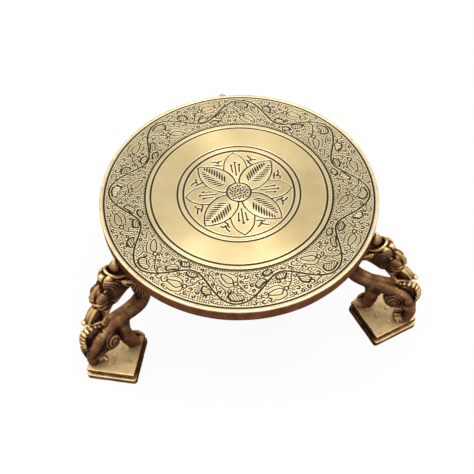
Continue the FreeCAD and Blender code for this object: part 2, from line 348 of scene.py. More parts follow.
# %% Sizes of the engraving, in millimetres and shares of the plate's radius
R = rim_radius / MM
line_width = 1.2
line_depth = 0.42
circle_shares = (0.3993, 0.4415, 0.6343, 0.6742, 0.9670)
leaf_angles = [51.0 + 90.0 * k for k in range(4)]
petal_angles = [5.5 + 90.0 * k for k in range(4)]
sprig_angles = [28.5 + 45.0 * k for k in range(8)]
leaf_side_shares = [(0.07, 0.052), (0.1, 0.074), (0.145, 0.09), (0.21, 0.096),
                    (0.285, 0.077), (0.345, 0.038), (0.381, 0.0)]
petal_side_shares = [(0.15, 0.07), (0.2, 0.085), (0.25, 0.083), (0.304, 0.07),
                     (0.349, 0.041), (0.383, 0.0)]
centre_disc_share = 0.0865
ground_drop = 0.42
petal_edge_drop, leaf_edge_drop = ground_drop * 0.9, ground_drop * 1.3
petal_outline_width = line_width * 0.85
circle_width = 1.8
print("plate radius", round(R, 1), "mm, circles at", np.round(np.array(circle_shares) * R, 1))


def to_photo_frame(along, across, angle):
    """Places given along and across a direction, turned to that direction, in millimetres."""
    a = math.radians(angle)
    along, across = np.asarray(along, float) * R, np.asarray(across, float) * R
    return np.stack([along * math.cos(a) - across * math.sin(a),
                     along * math.sin(a) + across * math.cos(a)], axis=-1)


def local_frame(x, y, angle):
    """The reverse: shares along and across a direction, for points in millimetres."""
    a = math.radians(angle)
    return (x * math.cos(a) + y * math.sin(a)) / R, (-x * math.sin(a) + y * math.cos(a)) / R


# %% Leaves as pillows with cut edges


def pillow(height, x, y, angle, side_shares, edge_drop):
    """Swells a leaf: highest on its midline, falling as a cube of the way out to its edge."""
    side = smooth_path(side_shares)
    along, across = local_frame(x, y, angle)
    width = np.interp(along, side[:, 0], side[:, 1], left=0, right=0)
    inside = (np.abs(across) < width) & (along > side[0, 0])
    share = np.abs(across[inside]) / np.maximum(width[inside], 1e-6)
    tip = np.clip((along[inside] - side[0, 0]) / (side[-1, 0] - side[0, 0]), 0, 1)
    height[inside] = -edge_drop * np.maximum(share ** 3, tip ** 6)
    return inside


def cut_outline(height, x, y, angle, side_shares, width, skip=None):
    """Cuts both sides of a leaf's outline, except where another leaf lies over it."""
    side = smooth_path(side_shares)
    for sign in (1, -1):
        trial = np.zeros_like(height)
        cut_stroke(trial, x, y, to_photo_frame(side[:, 0], sign * side[:, 1], angle), width, line_depth)
        if skip is not None:
            trial[skip] = 0
        height[:] = np.minimum(height, trial)


# %% Strokes inside the leaves, petals and corners: places as shares, widths in millimetres
vein_places = np.linspace(0.12, 0.308, 9)
vein_slant, vein_reach, vein_start = 52.0, 0.62, 0.01
vein_stagger = 0.012
vein_width, vein_middle_width = 1.05, 1.6
petal_lines = ((0.0, 0.155, 0.283), (0.03, 0.19, 0.258), (-0.03, 0.19, 0.258))
petal_line_width, petal_blob_width, petal_blob_length = 1.15, 2.0, 0.3
sprig_strokes = (([0.316, 0.336, 0.35], [0.0, 0.008, 0.036]),
                 ([0.316, 0.332, 0.33], [-0.002, -0.016, -0.034]),
                 ([0.284, 0.292, 0.306], [-0.016, 0.002, 0.01]),
                 ([0.3, 0.312, 0.314], [0.012, 0.018, 0.03]))
sprig_width = 1.45


def cut_veins(height, x, y, angle):
    """Herringbone veins: strokes from beside the midline towards edge and tip, wider in their middle."""
    side = smooth_path(leaf_side_shares)
    slant = math.tan(math.radians(vein_slant))
    for along in vein_places:
        reach = vein_reach * float(np.interp(along + 0.03, side[:, 0], side[:, 1]))
        for sign in (1, -1):
            start = along + (vein_stagger if sign < 0 else 0.0)
            across = np.array([vein_start, reach * 0.55, reach])
            path = to_photo_frame(start + across / slant, sign * across, angle)
            cut_stroke(height, x, y, path, vein_width, line_depth)
            cut_stroke(height, x, y, (path[:-1] + path[1:]) / 2, vein_middle_width, line_depth)


def cut_petal_lines(height, x, y, angle):
    """Three lines in a plain petal, each ending outwards in the chisel's deeper blob."""
    blob = np.array([[0, 0], [petal_blob_length, petal_blob_length]])
    for across, start, end in petal_lines:
        path = to_photo_frame([start, end], [across * 0.8, across], angle)
        cut_stroke(height, x, y, path, petal_line_width, line_depth)
        cut_stroke(height, x, y, path[1:] + blob, petal_blob_width, line_depth * 1.2)


def cut_sprig(height, x, y, angle, random):
    """A bird-foot sprig: two curved arms that open outwards and two commas inside them, cut by hand."""
    turn = angle + random.uniform(-2, 2)
    for along, across in sprig_strokes:
        along = np.array(along) + random.uniform(-0.004, 0.004, 3)
        cut_stroke(height, x, y, smooth_path(to_photo_frame(along, across, turn)), sprig_width, line_depth)


# %% Dots, circles and the whole medallion
disc_dots = 44
disc_dot_radius, disc_dot_depth = 0.86, 0.5
disc_dot_reach = 0.069
disc_line_width = 1.6
disc_dome = 0.15
golden_turn = 2 * math.pi / 1.618 ** 2
points_at_once = 4000


def punch(height, x, y, places, radius, depth):
    """Round dimples: each point takes the nearest place, from a table of distances for part of them."""
    found = near(x, y, places, radius)
    for first in range(0, len(found), points_at_once):
        part = found[first:first + points_at_once]
        gap = np.hypot(x[part, None] - places[:, 0], y[part, None] - places[:, 1]).min(1) / radius
        height[part] = np.minimum(height[part], -depth * np.clip(1 - gap ** 2, 0, 1))


def cut_circle(cuts, radius, share, width):
    """Cuts a circle round the plate's axis at a share of its radius, deepest in the middle of its width."""
    ring = np.abs(radius - share) * R / (width / 2)
    cuts[:] = np.minimum(cuts, -line_depth * np.clip(1 - ring ** 2, 0, 1))


# %% The whole medallion: which form lies over which


def medallion_height(x, y):
    """Height of the medallion and depth of its cuts below the flat top, in millimetres."""
    random = np.random.default_rng(7)
    radius = np.hypot(x, y) / R
    height, cuts = np.zeros_like(x), np.zeros_like(x)
    height[radius < circle_shares[0]] = -ground_drop
    over = np.zeros(len(x), bool)
    for angle in petal_angles:
        pillow(height, x, y, angle, petal_side_shares, petal_edge_drop)
    for angle in leaf_angles:
        over |= pillow(height, x, y, angle, leaf_side_shares, leaf_edge_drop)
    disc = radius < centre_disc_share
    over |= disc
    for angle in petal_angles:
        cut_outline(cuts, x, y, angle, petal_side_shares, petal_outline_width, over)
        cut_petal_lines(cuts, x, y, angle)
    for angle in leaf_angles:
        cut_outline(cuts, x, y, angle, leaf_side_shares, line_width, disc)
        cut_veins(cuts, x, y, angle)
    for angle in sprig_angles:
        cut_sprig(cuts, x, y, angle, random)
    height[disc] = -disc_dome * (radius[disc] / centre_disc_share) ** 4
    turns = golden_turn * np.arange(disc_dots)
    spiral = disc_dot_reach * np.sqrt((np.arange(disc_dots) + 0.5) / disc_dots) * R
    dots = np.stack([spiral * np.cos(turns), spiral * np.sin(turns)], axis=-1)
    punch(cuts, x, y, dots + random.uniform(-0.2, 0.2, dots.shape), disc_dot_radius, disc_dot_depth)
    cut_circle(cuts, radius, centre_disc_share, disc_line_width)
    for share in circle_shares[:2]:
        cut_circle(cuts, radius, share, circle_width)
    return height + cuts, cuts


# %% [markdown]
# ## Engraving of the border
#
# A vine runs round the border in eight waves. A tulip bud hangs on a stalk inside each crest and another
# stands outside each trough, with curled tendrils and small hatched leaves beside them. The places below
# are for one wave: degrees past its crest, and the radius as a share. Each wave is cut by hand on the real
# plate, so its points are moved a little here too. Commas fill the gaps, and dots the ground that is left.

# %% The vine's motifs
wave_count = 8
wave_turn = 360.0 / wave_count
crest_angle = -2.2
vine_radius_share = 0.838
vine_swing_share = 0.098
vine_width, vine_depth = 1.5, line_depth * 1.1

# Each stroke: points as (degrees past the crest, radius share), and its width in millimetres
stroke_shares = {
    "inner_stalk": ([(-8.8, 0.874), (-6.0, 0.868), (-3.8, 0.838), (-1.6, 0.8), (-0.6, 0.792)], 0.95),
    "inner_bud_left": ([(0.0, 0.768), (-0.6, 0.742), (1.0, 0.716), (4.4, 0.7)], 0.85),
    "inner_bud_right": ([(1.4, 0.797), (4.0, 0.812), (6.6, 0.795), (9.0, 0.76)], 0.85),
    "inner_bud_tongue": ([(1.6, 0.778), (2.2, 0.75), (4.6, 0.728), (8.4, 0.712), (7.2, 0.748), (4.4, 0.78),
                          (1.6, 0.778)], 0.95),
    "inner_curl": ([(-2.4, 0.86), (-0.6, 0.852), (-0.2, 0.826), (-1.8, 0.816), (-2.2, 0.83)], 0.8),
    "outer_stalk": ([(16.8, 0.779), (18.4, 0.8), (19.6, 0.838), (21.8, 0.866), (22.4, 0.868)], 0.95),
    "outer_bud_upper": ([(23.6, 0.89), (24.0, 0.922), (27.0, 0.94), (29.6, 0.936)], 0.85),
    "outer_bud_lower": ([(24.2, 0.858), (25.6, 0.836), (28.6, 0.832), (31.2, 0.846)], 0.85),
    "outer_bud_tongue": ([(24.2, 0.876), (26.0, 0.904), (28.8, 0.902), (31.6, 0.886), (28.8, 0.864),
                          (26.0, 0.858), (24.2, 0.876)], 0.95),
    "crest_hook": ([(6.6, 0.905), (9.4, 0.914), (10.0, 0.936), (8.4, 0.946), (7.2, 0.934)], 0.9),
    "trough_hook": ([(28.4, 0.742), (30.4, 0.736), (31.2, 0.716), (29.8, 0.7), (28.6, 0.708)], 0.9),
    "trough_curl": ([(11.2, 0.76), (13.0, 0.742), (14.8, 0.724), (13.8, 0.704), (12.4, 0.712)], 0.85),
    "side_leaf": ([(4.6, 0.872), (5.4, 0.836), (8.2, 0.806), (9.6, 0.816), (8.8, 0.842)], 0.85),
    "side_curl": ([(34.2, 0.876), (34.8, 0.906), (36.8, 0.902), (36.2, 0.884)], 0.85),
    "rise_curl": ([(-12.6, 0.862), (-13.8, 0.892), (-12.4, 0.908), (-11.0, 0.896)], 0.85),
    "tendril": ([(19.8, 0.838), (21.6, 0.828), (21.8, 0.806), (20.4, 0.8)], 0.75),
}
# Each hatched leaf: its closed outline, with the same kind of points
hatched_leaf_shares = {
    "crest_leaf": [(-3.2, 0.904), (0.2, 0.918), (3.0, 0.9), (3.2, 0.868), (1.2, 0.848), (-0.8, 0.872),
                   (-3.0, 0.874)],
    "falling_leaf": [(10.8, 0.88), (13.2, 0.894), (15.4, 0.868), (15.2, 0.828), (13.4, 0.838),
                     (11.6, 0.85)],
    "trough_leaf": [(19.6, 0.768), (21.2, 0.792), (24.0, 0.794), (25.8, 0.774), (24.4, 0.756),
                    (21.4, 0.752)],
    "rising_leaf": [(-15.4, 0.78), (-12.6, 0.796), (-10.4, 0.824), (-9.0, 0.802), (-10.2, 0.77),
                    (-13.0, 0.752)],
    "inner_leaf": [(-19.0, 0.722), (-16.2, 0.742), (-13.6, 0.73), (-14.6, 0.706), (-17.4, 0.698)],
}
node_ring_shares = [(0.4, 0.781), (23.1, 0.873)]
closed_strokes = ("inner_bud_tongue", "outer_bud_tongue")
bud_body_shares = {
    "inner_bud": [(0.4, 0.775), (-0.6, 0.742), (1.0, 0.716), (4.4, 0.7), (7.4, 0.716), (9.0, 0.76),
                  (6.6, 0.795), (4.0, 0.812), (1.4, 0.797)],
    "outer_bud": [(23.4, 0.875), (24.0, 0.922), (27.0, 0.94), (29.6, 0.936), (31.0, 0.9), (31.2, 0.846),
                  (28.6, 0.832), (25.6, 0.836)],
}
print("motifs in a wave:", len(stroke_shares), "strokes,", len(hatched_leaf_shares), "leaves,",
      len(bud_body_shares), "buds")

# %% The vine and its motifs as paths
hand_wobble, hand_turn = 0.0018, 0.12


def border_points(points, wave, random, wobble=hand_wobble):
    """Points of one wave's motif in millimetres: angle back from its crest, radius, and a hand's wobble."""
    points = np.asarray(points, float)
    radius = (points[:, 1] + random.uniform(-wobble, wobble, len(points))) * R
    turn = random.uniform(-hand_turn, hand_turn, len(points))
    angle = np.radians(crest_angle + wave_turn * wave - points[:, 0] + turn)
    return np.stack([radius * np.cos(angle), radius * np.sin(angle)], axis=-1)


def vine_gap(x, y):
    """Distance to the vine in millimetres: the radial gap to its cosine, shortened where the vine slopes."""
    phase = wave_count * (np.arctan2(y, x) - math.radians(crest_angle))
    radius = np.hypot(x, y) / R
    middle = vine_radius_share + vine_swing_share * np.cos(phase)
    slope = wave_count * vine_swing_share * np.sin(phase) / np.maximum(middle, 0.1)
    return np.abs(radius - middle) * R / np.sqrt(1 + slope ** 2)


def border_motifs():
    """All strokes, ring places and leaf outlines of the eight waves, as paths in millimetres."""
    random = np.random.default_rng(11)
    strokes, rings, leaves, bodies = [], [], [], []
    for wave in range(wave_count):
        for name, (points, width) in stroke_shares.items():
            path = border_points(points, wave, random)
            if name in closed_strokes:
                path[-1] = path[0]
            strokes.append((smooth_path(path, 5), width))
        for place in node_ring_shares:
            rings.append(border_points([place], wave, random)[0])
        for points in hatched_leaf_shares.values():
            leaf = border_points(points, wave, random)
            leaves.append(smooth_path(np.vstack([leaf, leaf[:1]]), 5))
        for points in bud_body_shares.values():
            bodies.append(border_points(points, wave, random, 0.0))
    return strokes, np.array(rings), leaves, bodies


strokes, rings, leaves, bodies = border_motifs()
print("border strokes", len(strokes), "leaves", len(leaves), "rings", len(rings))

# %% Commas for the gaps
ring_radius = 1.5
curl_size, curl_width = 1.45, 1.15
curl_tries, curl_steps = 2600, 10
curl_inner_share, curl_outer_share = 0.705, 0.94
curl_margin, curl_gap = 0.75, 0.9
vine_margin, edge_clearance = 0.15, 0.7


def clear_of_motifs(x, y, clearance):
    """True where a point keeps its distance from the vine and from every stroke, leaf, bud and ring."""
    keep = vine_gap(x, y) > clearance + vine_margin
    for path, _ in strokes:
        found = near(x, y, path, clearance)
        keep[found] &= distance_to_path(x[found], y[found], path) > clearance
    for path in leaves + bodies:
        found = near(x, y, path, clearance)
        keep[found] &= ~inside_path(x[found], y[found], path)
        keep[found] &= distance_to_path(x[found], y[found], path) > clearance * edge_clearance
    for place in rings:
        keep &= np.hypot(x - place[0], y - place[1]) > ring_radius + clearance * edge_clearance
    return keep


def filling_curls():
    """Commas at random places, clear of the motifs and of each other, each wound a little inwards."""
    random = np.random.default_rng(19)
    angle = random.uniform(-math.pi, math.pi, curl_tries)
    radius = random.uniform(curl_inner_share, curl_outer_share, len(angle)) * R
    x, y = radius * np.cos(angle), radius * np.sin(angle)
    keep = clear_of_motifs(x, y, curl_size + curl_margin)
    curls, places = [], []
    for place in np.stack([x, y], axis=-1)[keep]:
        if all(math.hypot(*(place - other)) > 2 * curl_size + curl_gap for other in places):
            places.append(place)
            turn, hand = random.uniform(0, 2 * math.pi), random.choice([-1, 1])
            along = np.linspace(0, random.uniform(3.4, 5.6), curl_steps)
            wound = curl_size * random.uniform(0.85, 1.1) * (1 - 0.1 * along)
            curls.append(place + np.stack([wound * np.cos(turn + hand * along),
                                           wound * np.sin(turn + hand * along)], axis=-1))
    return curls


curls = filling_curls()
strokes += [(path, curl_width) for path in curls]
print("commas", len(curls))

# %% Dots of the ground, in millimetres
dot_pitch, dot_radius, dot_depth = 1.55, 0.66, 0.4
dot_clearance, dot_jitter = 1.1, 0.16
first_row_gap, last_row_gap = 1.35, 0.9


def border_dots():
    """Dots in rows round the border, kept off every stroke, leaf, bud and ring."""
    random = np.random.default_rng(3)
    rows = []
    first, last = circle_shares[3] * R + first_row_gap, circle_shares[4] * R - last_row_gap
    for radius in np.arange(first, last, dot_pitch):
        count = int(2 * math.pi * radius / dot_pitch)
        angle = (np.arange(count) + random.uniform(0, 1)) * 2 * math.pi / count
        rows.append(np.stack([radius * np.cos(angle), radius * np.sin(angle)], axis=-1))
    dots = np.vstack(rows)
    dots += random.uniform(-dot_jitter, dot_jitter, dots.shape)
    return dots[clear_of_motifs(dots[:, 0], dots[:, 1], dot_clearance)]


dots = border_dots()
print("punched dots", len(dots))

# %% Height of the border, widths and depths in millimetres
border_drop = 0.06
leaf_back_width, leaf_front_width = 1.5, 0.95
hatch_pitch, hatch_depth = 1.6, 0.26
ring_line_half_width = 0.55
sector_count = 24


def cut_hatched_leaf(cuts, x, y, path, number):
    """A small leaf: a deep stroke on its back, a light one on its front, hatching at its own slant."""
    middle = len(path) // 2
    cut_stroke(cuts, x, y, path[:middle + 1], leaf_back_width, line_depth)
    cut_stroke(cuts, x, y, path[middle:], leaf_front_width, line_depth * 0.8)
    found = near(x, y, path, 0)
    found = found[inside_path(x[found], y[found], path)]
    slant = 0.6 + 0.9 * math.sin(number * 2.3)
    across = x[found] * math.cos(slant) + y[found] * math.sin(slant)
    groove = np.clip(np.cos(across * 2 * math.pi / hatch_pitch) - 0.3, 0, 1) / 0.7
    cuts[found] = np.minimum(cuts[found], -hatch_depth * groove)


def cut_ring(cuts, x, y, place):
    """A ring where a stalk meets its bud: a round groove, with the ground inside it left whole."""
    found = near(x, y, place[None], ring_radius + 0.6)
    distance = np.hypot(x[found] - place[0], y[found] - place[1])
    edge = np.abs(distance - ring_radius) / ring_line_half_width
    inside = np.where(distance < ring_radius, 0.0, cuts[found])
    cuts[found] = np.minimum(inside, -line_depth * np.clip(1 - edge ** 2, 0, 1))


def turn_from(angle, middle):
    """Angle past a middle direction, in radians from minus half a turn to half a turn."""
    return (angle - middle + math.pi) % (2 * math.pi) - math.pi


def punch_ground(cuts, x, y, ground):
    """Punches the border's dots, one sector of the plate at a time so that the tables stay small."""
    direction, dot_direction = np.arctan2(y, x), np.arctan2(dots[:, 1], dots[:, 0])
    for sector in range(sector_count):
        middle = (sector + 0.5) * 2 * math.pi / sector_count - math.pi
        own = dots[np.abs(turn_from(dot_direction, middle)) < 0.15]
        here = np.abs(turn_from(direction, middle)) < math.pi / sector_count
        found = np.flatnonzero(here & ground)
        part = cuts[found]
        punch(part, x[found], y[found], own, dot_radius, dot_depth)
        cuts[found] = part


# %% The whole border


def border_height(x, y):
    """Height of the border and depth of its cuts below the flat top, in millimetres."""
    radius = np.hypot(x, y) / R
    height = np.zeros_like(x)
    gap = vine_gap(x, y) / (vine_width / 2)
    in_border = (radius > circle_shares[3]) & (radius < circle_shares[4])
    cuts = np.where(in_border, -vine_depth * np.clip(1 - gap ** 2, 0, 1), 0.0)
    height[in_border] = -border_drop
    for path in bodies + leaves:
        found = near(x, y, path, 0)
        height[found[inside_path(x[found], y[found], path)]] = 0.0
    for path, width in strokes:
        cut_stroke(cuts, x, y, path, width, line_depth)
    for number, path in enumerate(leaves):
        cut_hatched_leaf(cuts, x, y, path, number)
    for place in rings:
        cut_ring(cuts, x, y, place)
    punch_ground(cuts, x, y, in_border)
    for share in circle_shares[2:]:
        cut_circle(cuts, radius, share, circle_width)
    return height + cuts, cuts


# %% [markdown]
# ## Finish of the top
#
# The top is brass, cast, turned on a lathe, engraved, antiqued with a dark wash and buffed. The wash stays
# in the cuts as dark brown and the buffed face is pale gold. The edges beside the cuts are burnished, and
# are painted paler as well, as a painted highlight where their lips catch the light. The fine turning marks
# draw each lamp's light out into a fan. Those marks are about a tenth of a millimetre wide on a real plate,
# so they are drawn coarser here, at a third of a millimetre, to show.

# %% Gold tones


def mapped(tree, value, from_min, from_max, to_min, to_max):
    """A socket's value carried from one range to another and held at its ends."""
    return add_node(tree, "ShaderNodeMapRange", None,
                    {"Value": value, "From Min": from_min, "From Max": from_max,
                     "To Min": to_min, "To Max": to_max}).outputs["Result"]


def brass_colour(tree, gold, pale, tone_scale):
    """Gold that drifts slowly to a paler gold: cloudy noise on object coordinates mixes two colours."""
    place = add_node(tree, "ShaderNodeTexCoord")
    noise = add_node(tree, "ShaderNodeTexNoise", None,
                     {"Vector": place.outputs["Object"], "Scale": tone_scale, "Detail": 4.0,
                      "Roughness": 0.6})
    share = mapped(tree, noise.outputs["Fac"], 0.35, 0.65, 0.0, 1.0)
    tone = add_node(tree, "ShaderNodeMix", {"data_type": "RGBA"},
                    {"Factor": share, "A": linear(gold), "B": linear(pale)})
    return place, tone


# %% Turned and buffed brass
painted_lip_highlight_share = 0.5
mark_scale = 1 / (MM / 3)
mark_bump = {"Strength": 0.35, "Distance": 0.00008}
fan_strength = 0.75


def turned_brass():
    """Turned and buffed brass: the point values darken its cuts with wash and pale their lips with a painted
    highlight.
    """
    material, tree = new_material("turned_buffed_brass")
    place, gold = brass_colour(tree, "#CEB684", "#DCC896", 30.0)
    wash = add_node(tree, "ShaderNodeAttribute", {"attribute_name": "patina_and_painted_light"})
    lip = add_node(tree, "ShaderNodeAttribute", {"attribute_name": "lip_burr_and_painted_highlight"})
    # Painted highlight: beside the cuts the colour is mixed towards pale #FFF6D6, partly burnished metal and
    # partly light painted on the lips.
    bright = add_node(tree, "ShaderNodeMath", {"operation": "MULTIPLY"},
                      {0: lip.outputs["Fac"], 1: painted_lip_highlight_share})
    gold = add_node(tree, "ShaderNodeMix", {"data_type": "RGBA"},
                    {"Factor": bright.outputs[0], "A": gold.outputs["Result"], "B": linear("#FFF6D6")})
    colour = add_node(tree, "ShaderNodeMix", {"data_type": "RGBA"},
                      {"Factor": wash.outputs["Fac"], "A": gold.outputs["Result"], "B": linear("#3D3022")})
    rough = mapped(tree, wash.outputs["Fac"], 0.0, 1.0, 0.42, 0.62)
    centre = add_node(tree, "ShaderNodeMapping", {"vector_type": "POINT"},
                      {"Vector": place.outputs["Object"],
                       "Location": (-plate_centre[0], -plate_centre[1], -plate_top)})
    flat = add_node(tree, "ShaderNodeVectorMath", {"operation": "MULTIPLY"},
                    {0: centre.outputs["Vector"], 1: (1.0, 1.0, 0.0)})
    radius = add_node(tree, "ShaderNodeVectorMath", {"operation": "LENGTH"}, {0: flat.outputs["Vector"]})
    marks = add_node(tree, "ShaderNodeTexNoise", {"noise_dimensions": "1D"},
                     {"W": radius.outputs["Value"], "Scale": mark_scale, "Detail": 2.0})
    bump = add_node(tree, "ShaderNodeBump", None, {"Height": marks.outputs["Fac"], **mark_bump})
    shader = add_node(tree, "ShaderNodeBsdfPrincipled", None,
                      {"Base Color": colour.outputs["Result"], "Metallic": 1.0,
                       "Roughness": rough, "Normal": bump.outputs["Normal"],
                       "Anisotropic": fan_strength, "Tangent": flat.outputs["Vector"]})
    add_node(tree, "ShaderNodeOutputMaterial", None, {"Surface": shader.outputs[0]})
    return material


top_material = turned_brass()
print("finish of the top", top_material.name)

# %% [markdown]
# ## The top as slabs
#
# Grids of points are laid over the top and lowered by the engraving. A square grid bent into a disc serves
# the medallion, because it has no crowded pole, and rings serve the band and the border. Each grid is
# closed into a thin slab with walls and an underside, which the plate's body then carries. Each point also
# gets the two values that the brass reads: the patina in the cuts, and a lip value that raises a burr beside
# the cuts and paints a highlight on it.

# %% Soft steps and waves
sines_per_octave = 5


def ramp(value, start, end):
    """Rises smoothly from zero at start to one at end: 3 s^2 - 2 s^3 of the share s between them."""
    share = np.clip((value - start) / (end - start), 0, 1)
    return share * share * (3 - 2 * share)


def waves(x, y, z, scale, seed, octaves=3):
    """Smooth random unevenness: sums of sine waves in random directions, each octave finer and weaker."""
    random = np.random.default_rng(seed)
    total = np.zeros(np.broadcast(x, y, z).shape)
    for octave in range(octaves):
        for _ in range(sines_per_octave):
            direction = random.normal(size=3)
            direction *= 2 ** octave / (scale * np.linalg.norm(direction)) * 2 * math.pi
            phase = random.uniform(0, 2 * math.pi)
            total += np.sin(x * direction[0] + y * direction[1] + z * direction[2] + phase) / 2 ** octave
    return total / sines_per_octave


# %% Values of the top: shares of the radius, and heights and waves in millimetres
medallion_edge_share, band_edge_share, border_edge_share = 0.455, 0.62, 0.98
cut_patina, veil_level, veil_cloud, veil_wave = 0.95, 0.03, 0.04, 26.0
border_veil, disc_veil = 0.21, 0.14
unevenness, unevenness_wave = 0.02, 60.0
lip_cells, lip_depth, lip_height = 2, 0.1, 0.09


def photo_to_object(x, y, z):
    """Points of the photo's frame in millimetres below the top, placed on the table in metres."""
    points = turned_about_axis(np.stack([x, y, z], axis=-1) * MM, photo_turn)
    return points + np.array([plate_centre[0], plate_centre[1], plate_top])


def top_values(cuts, x, y):
    """Patina: dark in the cuts but not on their upper slopes, with a cloudy veil over border and disc."""
    veil = veil_level + veil_cloud * waves(x, y, 0 * x, veil_wave, 5)
    radius = np.hypot(x, y) / R
    veil += border_veil * ramp(radius, 0.676, 0.69) * ramp(-radius, -0.965, -0.95)
    veil += disc_veil * ramp(-radius, -centre_disc_share, -0.9 * centre_disc_share)
    return np.clip(cut_patina * ramp(-cuts, 0.07, 0.24) + veil, 0, 1)


def lips(cuts, closed):
    """Burr and painted highlight, high beside a cut: the depths averaged twice over a few cells, faded out
    inside the cut.
    """
    depth = -cuts
    for _ in range(2):
        padded = np.pad(depth, ((lip_cells, lip_cells), (0, 0)), mode="edge")
        padded = np.pad(padded, ((0, 0), (lip_cells, lip_cells)), mode="wrap" if closed else "edge")
        rows, columns = cuts.shape
        shifts = range(2 * lip_cells + 1)
        depth = sum(padded[i:i + rows, j:j + columns] for i in shifts for j in shifts) / len(shifts) ** 2
    return np.clip(depth / lip_depth, 0, 1) * ramp(cuts, -0.16, -0.04)


# %% Grids: normals and faces


def grid_normals(points):
    """Normals of a grid of points: the cross product of its two directions of neighbour differences."""
    along = np.gradient(points, axis=0)
    across = np.gradient(points, axis=1)
    normal = np.cross(along, across)
    return normal / np.linalg.norm(normal, axis=-1, keepdims=True)


def face_normals(points, faces):
    """Flat normals of faces from the cross product of their diagonals or sides, repeated per corner."""
    a = points[faces[:, 2]] - points[faces[:, 0]]
    b = points[faces[:, -1]] - points[faces[:, 1]]
    normal = np.cross(a, b)
    normal /= np.maximum(np.linalg.norm(normal, axis=1, keepdims=True), 1e-12)
    return np.repeat(normal, faces.shape[1], axis=0)


def grid_quads(rows, columns, closed=False):
    """Corner numbers of a grid's quads; a closed grid joins its last column to its first."""
    r, c = np.meshgrid(np.arange(rows - 1), np.arange(columns if closed else columns - 1), indexing="ij")
    following = (c + 1) % columns
    return np.stack([r * columns + c, (r + 1) * columns + c,
                     (r + 1) * columns + following, r * columns + following], axis=-1).reshape(-1, 4)


# %% Slabs of the top
slab_depth = 1.2


def close_slab(name, points, cuts, lip_burr_and_painted_highlight, x, y, loops, closed):
    """Adds walls and an underside to a grid: each boundary loop gets a copy at the slab's depth."""
    rows, columns = points.shape[:2]
    top = points.reshape(-1, 3)
    quads = grid_quads(rows, columns, closed)
    if closed:
        wrapped = np.concatenate([points[:, -1:], points, points[:, :1]], axis=1)
        normals = grid_normals(wrapped)[:, 1:-1].reshape(-1, 3)
    else:
        normals = grid_normals(points).reshape(-1, 3)
    if normals[:, 2].mean() < 0:
        normals, quads = -normals, quads[:, ::-1]
    floor_height = np.array([0, 0, plate_top - slab_depth * MM])
    under = [top[loop] * np.array([1, 1, 0]) + floor_height for loop in loops]
    starts = np.cumsum([len(top)] + [len(loop) for loop in loops])
    walls, caps = [], []
    for loop, start in zip(loops, starts):
        here, following = np.arange(len(loop)), (np.arange(len(loop)) + 1) % len(loop)
        walls.append(np.stack([loop[here], start + here, start + following, loop[following]], axis=1))
    everything = np.vstack([top] + under)
    if len(loops) == 2:
        outer = starts[1] + np.arange(len(loops[1]))
        inner = (starts[0] + np.arange(len(loops[0])))[::-1]
        walls.append(np.stack([inner, np.roll(inner, -1), np.roll(outer, -1), outer], axis=1))
    else:
        everything = np.vstack([everything, under[0].mean(0)])
        edge = starts[0] + np.arange(len(loops[0]))
        caps = np.stack([edge, np.full(len(edge), len(everything) - 1), np.roll(edge, -1)], axis=1)
    sides = np.vstack(walls)
    caps = np.asarray(caps, int).reshape(-1, 3)
    corner_normals = [normals[quads.ravel()], face_normals(everything, sides)]
    if len(caps):
        corner_normals.append(face_normals(everything, caps))
    values, lip_highlight_values = np.zeros(len(everything)), np.zeros(len(everything))
    values[:len(top)] = top_values(cuts, x, y).ravel()
    lip_highlight_values[:len(top)] = lip_burr_and_painted_highlight.ravel()
    finish = {"patina_and_painted_light": values, "lip_burr_and_painted_highlight": lip_highlight_values}
    piece = make_piece(name, everything, np.vstack([quads, sides]), caps, finish,
                       np.vstack(corner_normals), top_material)
    keep_as(piece, "top_plate")


# %% Rings and discs of points


def plate_unevenness(x, y):
    """The faint waves that hand finishing left in the top, kept below its plane."""
    return unevenness * (waves(x, y, 0 * x, unevenness_wave, 2, 2) - 1.0)


def slab_surface(x, y, height, lip_burr_and_painted_highlight):
    """Height field with the burr beside the cuts and the unevenness of the top, as points on the table."""
    return photo_to_object(x, y, height + lip_height * (lip_burr_and_painted_highlight - 1) + plate_unevenness(x, y))


def ring_slab(name, inner_share, outer_share, rows, columns, engrave):
    """A ring: a grid of radii by angles, engraved and closed."""
    radius, angle = np.meshgrid(np.linspace(inner_share, outer_share, rows) * R,
                                np.arange(columns) * 2 * math.pi / columns, indexing="ij")
    x, y = radius * np.cos(angle), radius * np.sin(angle)
    height, cuts = (part.reshape(x.shape) for part in engrave(x.ravel(), y.ravel()))
    lip_burr_and_painted_highlight = lips(cuts, True)
    numbers = np.arange(rows * columns).reshape(rows, columns)
    close_slab(name, slab_surface(x, y, height, lip_burr_and_painted_highlight), cuts, lip_burr_and_painted_highlight, x, y,
               [numbers[0][::-1], numbers[-1]], True)


def disc_slab(name, outer_share, cells, engrave):
    """A disc: every square ring of a square grid becomes a circle, its corners at the diagonals."""
    a, b = np.meshgrid(np.linspace(-1, 1, cells + 1), np.linspace(-1, 1, cells + 1), indexing="ij")
    wide = np.abs(a) > np.abs(b)
    size = np.where(wide, a, b)
    other = np.where(wide, b, a)
    turn = math.pi / 4 * other / np.where(size == 0, 1, size)
    angle = np.where(wide, turn, math.pi / 2 - turn)
    x, y = size * np.cos(angle) * outer_share * R, size * np.sin(angle) * outer_share * R
    height, cuts = (part.reshape(x.shape) for part in engrave(x.ravel(), y.ravel()))
    numbers = np.arange((cells + 1) ** 2).reshape(cells + 1, cells + 1)
    loop = np.concatenate([numbers[:-1, 0], numbers[-1, :-1], numbers[:0:-1, -1], numbers[0, :0:-1]])
    lip_burr_and_painted_highlight = lips(cuts, False)
    close_slab(name, slab_surface(x, y, height, lip_burr_and_painted_highlight), cuts, lip_burr_and_painted_highlight, x, y, [loop], False)


